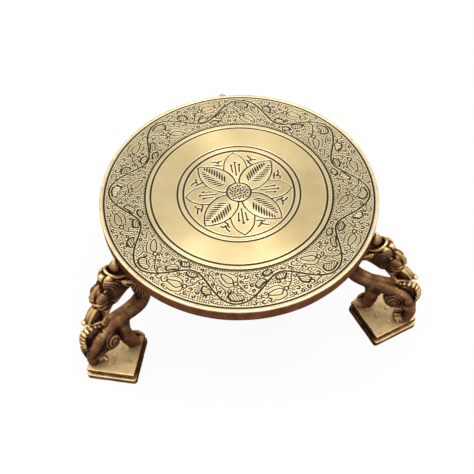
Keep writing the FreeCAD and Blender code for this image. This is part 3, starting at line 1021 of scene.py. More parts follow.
def plain_height(x, y):
    """The plain band has no engraving."""
    return np.zeros_like(x), np.zeros_like(y)


# %% The medallion, the band and three rings of the border
border_rings = 3
disc_slab("plate_medallion", medallion_edge_share, 300, medallion_height)
ring_slab("plate_band", medallion_edge_share, band_edge_share, 24, 720, plain_height)
border_steps = np.linspace(band_edge_share, border_edge_share, border_rings + 1)
for number, (inner, outer) in enumerate(zip(border_steps[:-1], border_steps[1:])):
    ring_slab("plate_border_%d" % (number + 1), inner, outer, 46, 1920, border_height)

# %% [markdown]
# ## Cast forms from a field of distances
#
# The figures and plinths are sand castings: soft forms that run into each other with fillets, and carving on
# top. Grids of points suit one surface, but not a body with four legs. So these pieces are built as clay is:
# a block of numbers says how far each place is from the metal, forms are added and taken away by comparing
# distances, and the surface is drawn where the distance is nothing. A smooth minimum gives every fillet.

# %% Clay: a block of distances


class Clay:
    """Distances on a grid in millimetres, negative inside the metal and positive outside."""

    def __init__(self, low, high, step):
        counts = np.ceil((np.array(high) - np.array(low)) / step).astype(int) + 1
        self.low, self.step = np.array(low, float), step
        self.x = (low[0] + step * np.arange(counts[0]))[:, None, None]
        self.y = (low[1] + step * np.arange(counts[1]))[None, :, None]
        self.z = (low[2] + step * np.arange(counts[2]))[None, None, :]
        self.field = np.full(tuple(counts), 9.0)

    def part(self, low, high):
        """The slice of the block that covers a box, and that slice's coordinates."""
        first = np.maximum(np.floor((np.array(low) - self.low) / self.step).astype(int), 0)
        last = np.maximum(np.ceil((np.array(high) - self.low) / self.step).astype(int) + 1, first)
        cut = tuple(slice(a, b) for a, b in zip(first, last))
        return cut, self.x[cut[0]], self.y[:, cut[1]], self.z[:, :, cut[2]]

    def join(self, cut, distance, blend):
        """Adds a form: the smaller distance wins, less a fillet where the two are nearly equal."""
        old = self.field[cut]
        mix = np.clip(0.5 + 0.5 * (distance - old) / blend, 0, 1)
        self.field[cut] = distance * (1 - mix) + old * mix - blend * mix * (1 - mix)

    def take(self, cut, distance, blend):
        """Removes a form: the larger of the old distance and the form's negative one wins."""
        old = self.field[cut]
        mix = np.clip(0.5 - 0.5 * (distance + old) / blend, 0, 1)
        self.field[cut] = old * (1 - mix) - distance * mix + blend * mix * (1 - mix)


# %% Distances to simple forms


def rounded(one, two, edge):
    """Distance to where two walls meet, from the distances to each, with the corner rounded by the edge."""
    one, two = one + edge, two + edge
    return np.hypot(np.maximum(one, 0), np.maximum(two, 0)) + np.minimum(np.maximum(one, two), 0) - edge


def tube_distance(x, y, z, path, flat):
    """Distance to a chain of tapering rods: to the nearest point of a span, less the radius there."""
    best = 99.0
    for start, end in zip(path[:-1], path[1:]):
        step = (end - start)[:3] / (1, flat, 1)
        dx, dy, dz = x - start[0], (y - start[1]) / flat, z - start[2]
        along = (dx * step[0] + dy * step[1] + dz * step[2]) / max(float(step @ step), 1e-9)
        along = np.clip(along, 0, 1)
        dx, dy, dz = dx - along * step[0], dy - along * step[1], dz - along * step[2]
        gap = np.sqrt(dx ** 2 + dy ** 2 + dz ** 2)
        best = np.minimum(best, gap - start[3] - along * (end[3] - start[3]))
    return best


def ball_distance(x, y, z, centre, half, tilt):
    """Distance to an ellipsoid, near enough: scaled radius less one, over the slope of that radius."""
    cosine, sine = math.cos(tilt), math.sin(tilt)
    along = (x - centre[0]) * cosine + (z - centre[2]) * sine
    thick = (z - centre[2]) * cosine - (x - centre[0]) * sine
    across = y - centre[1]
    radius = np.sqrt((along / half[0]) ** 2 + (across / half[1]) ** 2 + (thick / half[2]) ** 2)
    slope = np.sqrt((along / half[0] ** 2) ** 2 + (across / half[1] ** 2) ** 2 + (thick / half[2] ** 2) ** 2)
    return np.maximum(radius, 1e-3) * (radius - 1) / np.maximum(slope, 1e-4)


# %% [markdown]
# The surface is found cell by cell. A cell whose corners lie on both sides gets one point, at the mean of
# the places where its edges cross. Every grid edge that crosses joins the four cells round it with one face.
# All cells are handled at once as arrays. The slope of the field gives the exact normals.

# %% From clay to a surface


def crossing_points(field):
    """One point per mixed cell, in cells: the mean of the crossings on its twelve edges."""
    corners = [(i, j, k) for i in (0, 1) for j in (0, 1) for k in (0, 1)]
    size = [n - 1 for n in field.shape]
    low = np.full(size, np.inf)
    high = np.full(size, -np.inf)
    for i, j, k in corners:
        value = field[i:i + size[0], j:j + size[1], k:k + size[2]]
        low, high = np.minimum(low, value), np.maximum(high, value)
    cells = np.argwhere((low < 0) & (high >= 0))
    number = np.full(size, -1)
    number[tuple(cells.T)] = np.arange(len(cells))
    total, count = np.zeros((len(cells), 3)), np.zeros(len(cells))
    for a in corners:
        for axis in range(3):
            if a[axis]:
                continue
            b = [1 if n == axis else a[n] for n in range(3)]
            first = field[tuple((cells + a).T)]
            second = field[tuple((cells + b).T)]
            crosses = (first < 0) != (second < 0)
            share = first[crosses] / (first[crosses] - second[crosses])
            place = cells[crosses] + np.array(a, float)
            place[:, axis] += share
            total[crosses] += place
            count[crosses] += 1
    return total / count[:, None], number


# %% Faces between the points


def crossing_quads(field, number):
    """One face per crossing edge, through the four cells round it, facing from metal to air."""
    quads = []
    inside = field < 0
    for axis in range(3):
        one, two = [a for a in range(3) if a != axis]
        before = np.take(inside, range(field.shape[axis] - 1), axis)
        after = np.take(inside, range(1, field.shape[axis]), axis)
        edges = np.argwhere(before != after)
        edges = edges[(edges[:, one] > 0) & (edges[:, two] > 0)]
        edges = edges[(edges[:, one] < field.shape[one] - 1) & (edges[:, two] < field.shape[two] - 1)]
        faces = []
        for step_one, step_two in ((1, 1), (0, 1), (0, 0), (1, 0)):
            cell = edges.copy()
            cell[:, one] -= step_one
            cell[:, two] -= step_two
            faces.append(number[tuple(cell.T)])
        faces = np.stack(faces, axis=1)
        outward = before[tuple(edges.T)] ^ (axis == 1)
        faces[~outward] = faces[~outward][:, ::-1]
        quads.append(faces)
    return np.vstack(quads)


# %% Normals and hollows


def sample(volume, places):
    """Values of a block at places in cells: the mean of the eight nearest, weighted by nearness."""
    base = np.clip(np.floor(places).astype(int), 0, np.array(volume.shape) - 2)
    share = places - base
    total = 0
    for i in (0, 1):
        for j in (0, 1):
            for k in (0, 1):
                weight = (abs(1 - i - share[:, 0]) * abs(1 - j - share[:, 1]) * abs(1 - k - share[:, 2]))
                total = total + weight * volume[base[:, 0] + i, base[:, 1] + j, base[:, 2] + k]
    return total


def blurred(volume, reach):
    """Mean over a box of some cells, taken twice along each axis with running sums."""
    for axis in (0, 1, 2, 0, 1, 2):
        pad = [(reach + 1, reach) if a == axis else (0, 0) for a in range(3)]
        sums = np.cumsum(np.pad(volume, pad, mode="edge"), axis=axis)
        width = 2 * reach + 1
        upper = np.take(sums, range(width, sums.shape[axis]), axis)
        lower = np.take(sums, range(0, sums.shape[axis] - width), axis)
        volume = (upper - lower) / width
    return volume


def cast_surface(clay, fine_reach, broad_reach):
    """Points, faces and normals of the clay, and how deep in a fine or a broad hollow each point lies."""
    places, number = crossing_points(clay.field)
    quads = crossing_quads(clay.field, number)
    normals = np.stack([sample(slope, places) for slope in np.gradient(clay.field)], axis=-1)
    normals /= np.maximum(np.linalg.norm(normals, axis=1, keepdims=True), 1e-9)
    metal = np.clip(0.5 - clay.field / clay.step, 0, 1)
    hollows = [sample(blurred(metal, max(1, round(reach / clay.step))), places) - 0.5
               for reach in (fine_reach, broad_reach)]
    return clay.low + places * clay.step, quads, normals, hollows


# %% [markdown]
# ## The lion-dragon
#
# All three figures come from one pattern, so one block of clay serves them all. The beast grows out from
# under the plate: neck down, back outwards, rump at the outer end with a fan-shaped tail, while its head
# turns back over the body and looks out. Places are (out from the rim, across, up from the plinth) as shares
# of the figure's length, width and height. Radii are shares of its width.

# %% The beast's measures
figure_length = 66.0
figure_width = 22.4
figure_tall = figure_height / MM
figure_lean = 5.6
lean_start, lean_softness = 0.4, 0.01
clay_step = 0.45
paw_sink = 0.15


def figure_mm(rows):
    """Rows of (out, across, up, then radii) in shares, as millimetres from the rim's foot point."""
    rows = np.array(rows, float)
    scale = [figure_length, figure_width, figure_tall] + [figure_width] * (rows.shape[1] - 3)
    return rows * scale


def sides(rows, paired):
    """The rows, and for a paired form also their mirror image across the middle plane."""
    rows = np.array(rows, float)
    mirrored = rows * ([1, -1, 1] + [1] * (rows.shape[1] - 3))
    return [rows, mirrored] if paired else [rows]


# %% Limbs, eggs and slabs


def add_tube(clay, rows, blend, flat=1.0, paired=False, remove=False):
    """A smooth tapering limb through the given places; flat above one widens it across."""
    for side in sides(rows, paired):
        path = smooth_path(figure_mm(side), 4) if len(side) > 2 else figure_mm(side)
        reach = path[:, 3:4] * (1, flat, 1) + blend + 1.2
        cut, x, y, z = clay.part((path[:, :3] - reach).min(0), (path[:, :3] + reach).max(0))
        (clay.take if remove else clay.join)(cut, tube_distance(x, y, z, path, flat), blend)


def add_ball(clay, centre, half, tilt, blend, paired=False, remove=False):
    """An egg: its half sizes are along, across and thick, and the tilt in degrees raises its outer end."""
    half = np.array(half) * figure_width
    for side in sides([centre], paired):
        middle = figure_mm(side)[0]
        reach = max(half[0], half[2]) + blend + 1.2
        box = np.array([reach, half[1] + blend + 1.2, reach])
        cut, x, y, z = clay.part(middle - box, middle + box)
        distance = ball_distance(x, y, z, middle, half, math.radians(tilt))
        (clay.take if remove else clay.join)(cut, distance, blend)


def side_view_distance(x, z, outline):
    """Signed distance on the side view to a smooth closed outline given in shares, negative inside."""
    places = np.array(outline, float) * (figure_length, figure_tall)
    path = smooth_path(np.vstack([places[-1:], places, places[:2]]), 4)[4:-4]
    flat_x = np.broadcast_to(x, (x.shape[0], 1, z.shape[2])).ravel()
    flat_z = np.broadcast_to(z, (x.shape[0], 1, z.shape[2])).ravel()
    distance = distance_to_path(flat_x, flat_z, path)
    distance = np.where(inside_path(flat_x, flat_z, path), -distance, distance)
    return distance.reshape(x.shape[0], 1, z.shape[2])


def add_slab(clay, outline, inner, outer, edge, blend, taper=0.0, taper_from=0.0, remove=False):
    """The side view's outline made as thick as outer to both sides, thinner by the taper past a place."""
    places = np.array(outline, float) * (figure_length, figure_tall)
    margin = blend + 1.2
    low, high = places.min(0) - margin, places.max(0) + margin
    cut, x, y, z = clay.part((low[0], -outer - margin, low[1]), (high[0], outer + margin, high[1]))
    narrowing = taper * np.clip(x - taper_from * figure_length, 0, None)
    depth = np.maximum(np.abs(y) - outer + narrowing, inner - np.abs(y))
    distance = rounded(side_view_distance(x, z, outline), depth, edge)
    (clay.take if remove else clay.join)(cut, distance, blend)


# %% Body and legs
body_rows = [(-0.154, 0, 1.06, 0.25), (-0.156, 0, 0.88, 0.252), (-0.166, 0, 0.68, 0.27),
             (-0.19, -0.02, 0.54, 0.275), (-0.11, -0.05, 0.452, 0.285), (0.05, -0.08, 0.41, 0.272),
             (0.2, -0.09, 0.392, 0.268), (0.34, -0.09, 0.372, 0.275), (0.47, -0.06, 0.325, 0.26)]
foreleg_rows = {
    "left": [(0.17, 0.02, 0.38, 0.24), (0.17, 0.15, 0.285, 0.26), (0.14, 0.2, 0.175, 0.25),
             (0.095, 0.2, 0.08, 0.21)],
    "right": [(0.1, -0.14, 0.38, 0.24), (0.12, -0.15, 0.285, 0.25), (0.125, -0.1, 0.17, 0.215),
              (0.09, -0.06, 0.07, 0.19)]}
forepaw_rows = {
    "left": [(0.11, 0.2, 0.07, 0.19), (0.05, 0.195, 0.05, 0.185), (0.01, 0.17, 0.035, 0.15)],
    "right": [(0.1, -0.06, 0.07, 0.185), (0.035, -0.055, 0.048, 0.175), (-0.015, -0.035, 0.035, 0.14)]}
shank_rows = {
    "left": [(0.43, 0.22, 0.25, 0.2), (0.54, 0.15, 0.195, 0.185), (0.605, 0.05, 0.13, 0.18),
             (0.6, -0.02, 0.055, 0.165)],
    "right": [(0.44, -0.27, 0.27, 0.2), (0.55, -0.29, 0.258, 0.19), (0.607, -0.27, 0.2, 0.19),
              (0.605, -0.235, 0.115, 0.17), (0.59, -0.22, 0.05, 0.16)]}
hindpaw_rows = {
    "left": [(0.6, -0.02, 0.045, 0.175), (0.54, -0.02, 0.04, 0.175), (0.49, 0.0, 0.032, 0.14)],
    "right": [(0.59, -0.22, 0.042, 0.16), (0.535, -0.235, 0.038, 0.16), (0.49, -0.24, 0.03, 0.13)]}
hocks = {"left": (0.6, 0.06, 0.15), "right": (0.603, -0.27, 0.2)}
thigh_rows = {
    "left": [(0.12, -0.06, 0.4, 0.24), (0.28, 0.01, 0.395, 0.25), (0.42, 0.11, 0.38, 0.255),
             (0.52, 0.14, 0.32, 0.24), (0.583, 0.08, 0.22, 0.2), (0.6, 0.01, 0.12, 0.175)],
    "right": [(0.12, -0.09, 0.4, 0.24), (0.3, -0.12, 0.395, 0.25), (0.44, -0.18, 0.38, 0.245),
              (0.52, -0.2, 0.33, 0.22), (0.58, -0.23, 0.25, 0.18)]}
toe_tips = {
    "fore left": [(0.028, 0.3), (-0.012, 0.235), (-0.035, 0.15), (-0.05, 0.06)],
    "fore right": [(-0.03, -0.16), (-0.058, -0.09), (-0.068, -0.02)],
    "hind left": [(0.452, 0.13), (0.44, 0.045), (0.437, -0.04)],
    "hind right": [(0.49, -0.37), (0.452, -0.3), (0.44, -0.21), (0.44, -0.13)]}

# %% Model the body


def add_toes(clay, knuckle, tips, radius):
    """Blunt toes from the paw's knuckle to each tip, parted by grooves, each with a short claw."""
    for out, across in tips:
        root = (knuckle[0] * 0.55 + out * 0.45, knuckle[1] * 0.4 + across * 0.6, 0.04, radius)
        add_tube(clay, [root, (out + 0.012, across, 0.022, radius * 0.9)], 0.35)
        claw = [(out + 0.008, across, 0.03, radius * 0.5), (out - 0.012, across, 0.01, radius * 0.3)]
        add_tube(clay, claw, 0.25)


def model_body(clay):
    """Neck, back and rump as one limb, then legs that stand close together, haunches, thighs and paws."""
    add_tube(clay, body_rows, 0.5)
    for side in ("left", "right"):
        add_tube(clay, foreleg_rows[side], 2.2)
        add_tube(clay, forepaw_rows[side], 1.2)
        add_toes(clay, forepaw_rows[side][-1], toe_tips["fore " + side], 0.062)
    add_ball(clay, (0.357, 0.23, 0.29), (0.37, 0.25, 0.43), 8, 0.7)
    add_ball(clay, (0.385, -0.255, 0.3), (0.38, 0.25, 0.45), 8, 0.9)
    for side in ("left", "right"):
        add_tube(clay, thigh_rows[side], 2.0)
        add_tube(clay, shank_rows[side], 0.9)
        add_tube(clay, hindpaw_rows[side], 0.9)
        add_ball(clay, hocks[side], (0.185, 0.17, 0.185), 0, 0.8)
        add_toes(clay, hindpaw_rows[side][-1], toe_tips["hind " + side], 0.06)


# %% Head
skull_outline = [(-0.17, 0.76), (-0.17, 0.86), (-0.1, 0.912), (-0.02, 0.918), (0.05, 0.93), (0.11, 0.957),
                 (0.16, 0.978), (0.205, 0.97), (0.238, 0.93), (0.252, 0.895), (0.28, 0.872), (0.305, 0.83),
                 (0.322, 0.785), (0.335, 0.745), (0.335, 0.71), (0.29, 0.68), (0.235, 0.66), (0.17, 0.685),
                 (0.11, 0.715), (0.0, 0.766), (-0.09, 0.775)]
cheek_flap_outline = [(0.22, 0.72), (0.33, 0.745), (0.378, 0.728), (0.36, 0.69), (0.322, 0.655),
                      (0.325, 0.61), (0.36, 0.575), (0.4, 0.54), (0.37, 0.5), (0.3, 0.53), (0.27, 0.6),
                      (0.205, 0.665)]
jaw_outline = [(0.36, 0.7), (0.392, 0.702), (0.432, 0.688), (0.475, 0.658), (0.515, 0.618), (0.53, 0.59),
               (0.5, 0.56), (0.44, 0.54), (0.38, 0.53), (0.33, 0.56), (0.318, 0.61), (0.335, 0.66)]
mouth_outline = [(0.362, 0.69), (0.405, 0.67), (0.45, 0.642), (0.49, 0.606), (0.495, 0.578), (0.46, 0.558),
                 (0.39, 0.556), (0.345, 0.585), (0.335, 0.65)]
lip_recess_outline = [(0.19, 0.735), (0.25, 0.762), (0.33, 0.773), (0.42, 0.76), (0.42, 0.69), (0.32, 0.66),
                      (0.24, 0.655), (0.19, 0.69)]
eye_place = (0.222, 0.868)

# %% Model the head


def model_head(clay):
    """Skull and jaws as slabs of the side view, then the jaw's rolled edge, cheeks, lips, nose, eyes."""
    # Skull, cheek flap and jaw, with the lips' recess and the open mouth taken out of them
    add_slab(clay, skull_outline, -9.0, 7.5, 3.2, 1.0, 0.36, 0.15)
    add_slab(clay, cheek_flap_outline, -9.0, 5.2, 2.0, 1.4)
    add_slab(clay, lip_recess_outline, 4.6, 12.0, 0.5, 0.6, remove=True)
    add_slab(clay, jaw_outline, -9.0, 3.3, 1.5, 0.8)
    add_slab(clay, mouth_outline, 0.9, 9.0, 0.5, 0.4, remove=True)
    # The jaw's rolled edge, with a bead at its tip
    add_tube(clay, [(0.38, 0, 0.694, 0.06), (0.425, 0, 0.676, 0.082), (0.472, 0, 0.646, 0.086),
                    (0.514, 0, 0.608, 0.08)], 0.4, 1.25)
    add_tube(clay, [(0.505, 0, 0.606, 0.075), (0.55, 0, 0.603, 0.06)], 0.5)
    add_ball(clay, (0.552, 0, 0.602), (0.1, 0.1, 0.1), 0, 0.3)
    # Cheeks and the two lips on each side
    add_ball(clay, (0.285, 0.19, 0.808), (0.25, 0.13, 0.2), -30, 1.2, paired=True)
    add_tube(clay, [(0.255, 0.235, 0.76, 0.04), (0.3, 0.22, 0.752, 0.06), (0.345, 0.17, 0.748, 0.07),
                    (0.375, 0.08, 0.744, 0.065), (0.379, -0.02, 0.743, 0.065)], 0.6, paired=True)
    add_tube(clay, [(0.26, 0.19, 0.708, 0.03), (0.31, 0.19, 0.7, 0.04), (0.345, 0.145, 0.702, 0.045),
                    (0.37, 0.06, 0.71, 0.045), (0.373, -0.02, 0.711, 0.045)], 0.4, paired=True)
    # Nose: bridge and its sides, bulb, tip, wings and nostrils
    add_tube(clay, [(0.245, 0, 0.893, 0.06), (0.288, 0, 0.874, 0.075), (0.326, 0, 0.852, 0.085),
                    (0.356, 0, 0.826, 0.1)], 0.6, 1.15)
    add_ball(clay, (0.3, 0.1, 0.845), (0.17, 0.09, 0.1), -52, 1.2, paired=True)
    add_ball(clay, (0.369, 0, 0.803), (0.128, 0.14, 0.12), -40, 0.7)
    add_ball(clay, (0.392, 0, 0.782), (0.075, 0.09, 0.07), -50, 0.4)
    add_ball(clay, (0.346, 0.13, 0.795), (0.08, 0.07, 0.065), -30, 0.45, paired=True)
    add_ball(clay, (0.332, 0.2, 0.783), (0.05, 0.05, 0.05), 0, 0.25, paired=True, remove=True)
    # Eyes: a hollow under the brow and a flat oval in it
    add_ball(clay, (0.272, 0.22, 0.878), (0.1, 0.09, 0.09), 40, 0.5, paired=True, remove=True)
    add_ball(clay, (eye_place[0], 0.238, eye_place[1]), (0.13, 0.035, 0.075), -22, 0.5, paired=True)


# %% Model the hair and ears


def model_hair(clay):
    """A pear-shaped topknot in the open cup of the hair, the bun on the brow, and leaf-shaped ears."""
    add_tube(clay, [(0.06, 0, 0.9, 0.11), (0.056, 0, 0.935, 0.14), (0.05, 0, 0.968, 0.166),
                    (0.044, 0, 1.0, 0.152), (0.032, 0, 1.035, 0.105), (0.024, 0, 1.068, 0.055)], 0.3)
    add_tube(clay, [(-0.05, 0.2, 0.905, 0.05), (0.01, 0.245, 0.928, 0.054), (0.072, 0.25, 0.953, 0.058),
                    (0.118, 0.185, 0.975, 0.058), (0.143, 0.08, 0.99, 0.056), (0.145, -0.03, 0.992, 0.056)],
             0.4, paired=True)
    add_ball(clay, (0.19, 0, 0.942), (0.16, 0.17, 0.2), -35, 0.35)
    add_ball(clay, (0.05, 0, 0.934), (0.3, 0.25, 0.17), 12, 0.8)
    add_ball(clay, (0.15, 0.17, 0.95), (0.16, 0.13, 0.16), -30, 0.5, paired=True)
    add_tube(clay, [(0.04, 0.33, 0.9, 0.05), (0.0, 0.37, 0.876, 0.12), (-0.05, 0.375, 0.835, 0.12),
                    (-0.115, 0.345, 0.782, 0.025)], 0.5, 0.6, paired=True)
    add_tube(clay, [(0.01, 0.46, 0.868, 0.06), (-0.045, 0.46, 0.83, 0.065), (-0.09, 0.43, 0.796, 0.02)],
             0.25, paired=True, remove=True)


# %% Tail
tail_share = (0.505, -0.03, 0.395)
fan_rows = [(0.385, -0.03, 0.445, 0.05), (0.43, -0.03, 0.485, 0.075), (0.505, -0.03, 0.503, 0.088),
            (0.585, -0.03, 0.478, 0.095), (0.634, -0.03, 0.415, 0.098), (0.642, -0.03, 0.345, 0.095),
            (0.625, -0.03, 0.28, 0.085), (0.59, -0.03, 0.23, 0.07)]


def model_tail(clay):
    """A thin lobe over the rump with a thick rolled edge, like a fan of hair."""
    add_ball(clay, tail_share, (0.43, 0.11, 0.36), -35, 1.2)
    add_ball(clay, (0.54, -0.04, 0.29), (0.27, 0.14, 0.3), 0, 1.2)
    add_tube(clay, fan_rows, 0.5, 1.6)
    add_tube(clay, [(0.36, -0.03, 0.42, 0.09), (0.45, -0.03, 0.445, 0.08), (0.54, -0.03, 0.42, 0.075),
                    (0.58, -0.03, 0.35, 0.07), (0.565, -0.03, 0.29, 0.06)], 0.6, 1.4)


# %% [markdown]
# The carving is cut into these forms as the founder's pattern has it: arcs over the eyes, a ring round each
# eye, a spiral on each haunch, the comb of the mane, teeth round the tail and strands of hair. Each is a
# pattern on the figure's side view, made of soft steps, lines and grooves that are multiplied, and it moves
# the surface in or out by less than a millimetre.

# %% Carved patterns, in millimetres
arc_pitch, arc_start, arc_end, arc_depth = 2.3, 4.4, 13.4, 0.62
eye_tilt, eye_half_length, eye_half_height = -22, 3.1, 2.2
haunch_half_length, haunch_half_height, winding_turns, winding_depth = 8.2, 10.2, 3.4, 0.5
comb_angle, comb_depth, comb_lift = 4.1, 0.62, 0.38
tail_half_length, tail_half_height, tail_turn, tooth_angle, tooth_depth = 10.2, 9.0, 0.61, 20, 0.85


def grooves(phase, sharp):
    """Even grooves: one at each whole number of the phase, sharper for a larger power."""
    return ((np.cos(2 * math.pi * phase) + 1) / 2) ** sharp


def line_at(value, place, width):
    """A soft line: one where the value meets the place, falling off as a bell over the width."""
    return np.exp(-((value - place) / width) ** 2)


def polar(clay, out, up):
    """Offsets in millimetres and angle in degrees round a place of the side view."""
    dx, dz = clay.x - out * figure_length, clay.z - up * figure_tall
    return dx, dz, np.degrees(np.arctan2(dz, dx))


def between(value, low, high, soft):
    """One between two limits, falling softly to nothing over a width inside each."""
    return ramp(value, low, low + soft) * ramp(-value, -high, soft - high)


# %% Carve the face


def carve_face(clay):
    """Arcs above and behind each eye, a ring and a pupil on it, and teeth between the lips."""
    outside = ramp(np.abs(clay.y), 4.2, 5.4)
    dx, dz, angle = polar(clay, 0.232, 0.853)
    distance = np.hypot(dx, dz)
    turned = (angle + 360) % 360
    band = ramp(distance, arc_start, arc_start + 0.5) * ramp(-distance, -arc_end, -arc_end + 0.8)
    band = band * ramp(turned, 68, 80) * ramp(-turned, -190, -160)
    clay.field += arc_depth * band * grooves((distance - arc_start) / arc_pitch, 1.0) * outside
    dx, dz, _ = polar(clay, *eye_place)
    turn = math.radians(eye_tilt)
    along, thick = dx * math.cos(turn) + dz * math.sin(turn), dz * math.cos(turn) - dx * math.sin(turn)
    oval = np.hypot(along / eye_half_length, thick / eye_half_height)
    ring = 0.35 * line_at(oval, 0.92, 0.14) - 0.25 * line_at(oval, 1.2, 0.14)
    pupil = 0.3 * line_at(oval, 0.0, 0.25)
    clay.field += (ring + pupil) * outside
    x, z = clay.x / figure_length, clay.z / figure_tall
    teeth = ramp(x, 0.25, 0.27) * ramp(-x, -0.4, -0.38) * ramp(z, 0.705, 0.712) * ramp(-z, -0.752, -0.745)
    clay.field += 0.35 * teeth * grooves((clay.x + 0.5 * clay.z) / 1.5, 1.0)


# %% Carve haunches, coat and tail


def carve_haunch(clay):
    """A spiral on each haunch that winds in from its edge, and a groove round it."""
    for sign, place in ((1, (0.335, 0.31)), (-1, (0.402, 0.3))):
        outside = ramp(sign * clay.y, 4.5, 6.5)
        dx, dz, angle = polar(clay, *place)
        oval = np.hypot(dx / haunch_half_length, dz / haunch_half_height)
        winding = grooves(oval * winding_turns - angle / 360, 1.3) * between(oval, 0.14, 1.0, 0.1)
        inwards = ramp(-dx, -8.5, -7.0)
        clay.field += (winding_depth * winding + 0.3 * line_at(oval, 1.06, 0.06)) * outside * inwards


def carve_coat(clay):
    """The mane's comb on the neck, short marks on the flank, hair strands and the lobes of the brow."""
    outside = ramp(np.abs(clay.y), 1.5, 3.0)
    dx, dz, angle = polar(clay, -0.2, 0.93)
    distance = np.hypot(dx, dz)
    comb = ramp(distance, 20, 23) * ramp(-distance, -35.5, -34.5) * between(angle, -112, -54, 6)
    clay.field += comb * (comb_depth * grooves(angle / comb_angle, 1.2) - comb_lift) * outside
    x, z = clay.x / figure_length, clay.z / figure_tall
    band = ramp(x, 0.06, 0.1) * ramp(-x, -0.31, -0.27) * line_at(z, 0.4, 0.022)
    clay.field += 0.38 * band * grooves((clay.x + clay.z * 0.35) / 1.75, 2.0) * outside
    strands = ramp(-x, -0.06, 0.0) * ramp(z, 0.78, 0.82) * ramp(-z, -0.97, -0.93)
    clay.field += 0.35 * strands * grooves((clay.x + 1.6 * np.sin(clay.z / 4.5)) / 1.9, 1.5) * outside
    brow = ramp(x, 0.14, 0.165) * ramp(z, 0.9, 0.915)
    clay.field += 0.55 * brow * line_at(np.abs(clay.y), 2.9, 0.45)


def carve_tail(clay):
    """Teeth across the rolled edge of the tail, a groove inside it, and fine rays further in."""
    dx, dz, angle = polar(clay, tail_share[0], tail_share[2])
    near_tail = ramp(clay.x, 22, 25) * ramp(clay.z, 19, 22) * ramp(-clay.z, -54, -52)
    near_tail = near_tail * ramp(-np.abs(clay.y), -5, -4)
    outside = ramp(np.abs(clay.y), 0.8, 1.6)
    cosine, sine = math.cos(tail_turn), math.sin(tail_turn)
    along, up = dx * cosine - dz * sine, dz * cosine + dx * sine
    ring = np.hypot(along / tail_half_length, up / tail_half_height)
    edge = ramp(ring, 0.76, 0.82) * between(angle, -92, 128, 12)
    clay.field += near_tail * tooth_depth * edge * grooves(angle / tooth_angle, 1.6)
    clay.field += near_tail * 0.5 * line_at(ring, 0.72, 0.05) * outside
    inner = ramp(ring, 0.3, 0.4) * ramp(-ring, -0.76, -0.68) * between(angle, -70, 150, 20)
    clay.field += near_tail * 0.3 * inner * grooves(angle / tooth_angle, 1.3) * outside


# %% Tongue, seat and cuts: millimetres, outwards from the rim
tongue_out = 87.32 - 101.6
tongue_length, tongue_half, tongue_thickness = 36.0, 10.0, 4.0
topknot_room = 9.0
screw_outs = (68.32 - 101.6, 80.32 - 101.6)
screw_hole_radius = 2.8
skirt_wall = 3.6
running_gap = 0.3
everywhere = (slice(None),) * 3


def stadium(x, y, half, inner, outer):
    """Distance to a flat bar with one round end: a rectangle up to the end's centre, then a half disc."""
    side = np.maximum(np.abs(y) - half, np.maximum(inner - x, x - outer))
    disc = np.hypot(x - outer, y) - half
    return np.minimum(side, disc)


def bore_screws(clay):
    """The two upright holes that a leg's screws pass through."""
    for out in screw_outs:
        clay.field = np.maximum(clay.field, screw_hole_radius - np.hypot(clay.x - out, clay.y))


def fit_figure(clay):
    """Adds the tongue that is screwed under the plate, clears the skirt and flattens the paws."""
    bar = stadium(clay.x, clay.y, tongue_half, tongue_out + tongue_half - tongue_length, tongue_out)
    middle = figure_tall + tongue_thickness / 2
    slab = np.maximum(bar, np.abs(clay.z - middle) - tongue_thickness / 2)
    clay.join(everywhere, slab, 0.8)
    room = np.where(clay.x < 0, tongue_thickness, topknot_room)
    clay.field = np.maximum(clay.field, clay.z - figure_tall - room)
    bore_screws(clay)
    radius = np.hypot(clay.x + rim_radius / MM, clay.y - figure_lean) - rim_radius / MM
    wall = np.abs(radius + skirt_wall / 2) - skirt_wall / 2 - running_gap
    clay.field = np.maximum(clay.field, -np.maximum(wall, figure_tall - running_gap - clay.z))
    clay.field = np.maximum(clay.field, -paw_sink - clay.z)


# %% Model, carve and draw the figure
beast = Clay((-42.5, -12.6, -1.6), (48.5, 12.6, 107.5), clay_step)
model_body(beast)
model_tail(beast)
model_head(beast)
model_hair(beast)
carve_face(beast)
carve_haunch(beast)
carve_coat(beast)
carve_tail(beast)
cast_unevenness, cast_wave = 0.11, 9.0
beast.field += cast_unevenness * waves(beast.x, beast.y, beast.z, cast_wave, 21, 2)
fit_figure(beast)
beast_points, beast_quads, beast_normals, beast_hollows = cast_surface(beast, 0.9, 3.2)
print("figure", len(beast_points), "points", len(beast_quads) * 2, "triangles")

# %% [markdown]
# ## Finish of the castings
#
# The castings were dipped in a dark wash, rubbed back by hand and lacquered. So the wash stays dark brown in
# what lies deep, flanks are warm brown gold, and every edge is rubbed bright. Light and shade are painted in
# as well: upper faces are painted bright, faces that look down dark, and broad hollows darker as painted
# shade. The depth of hollows and the way a face looks up are known from the clay, so each point gets one
# value, of wash and painted light together, and the material turns it to a colour, a roughness and a share
# of bare metal.

# %% Antiqued cast brass
edge_tint = "#E2CBB2"
cloud_mm, cloud_reach, speck_reach = 7, 0.12, 0.1
washed_metal = 0.93
cast_bump = 0.00012


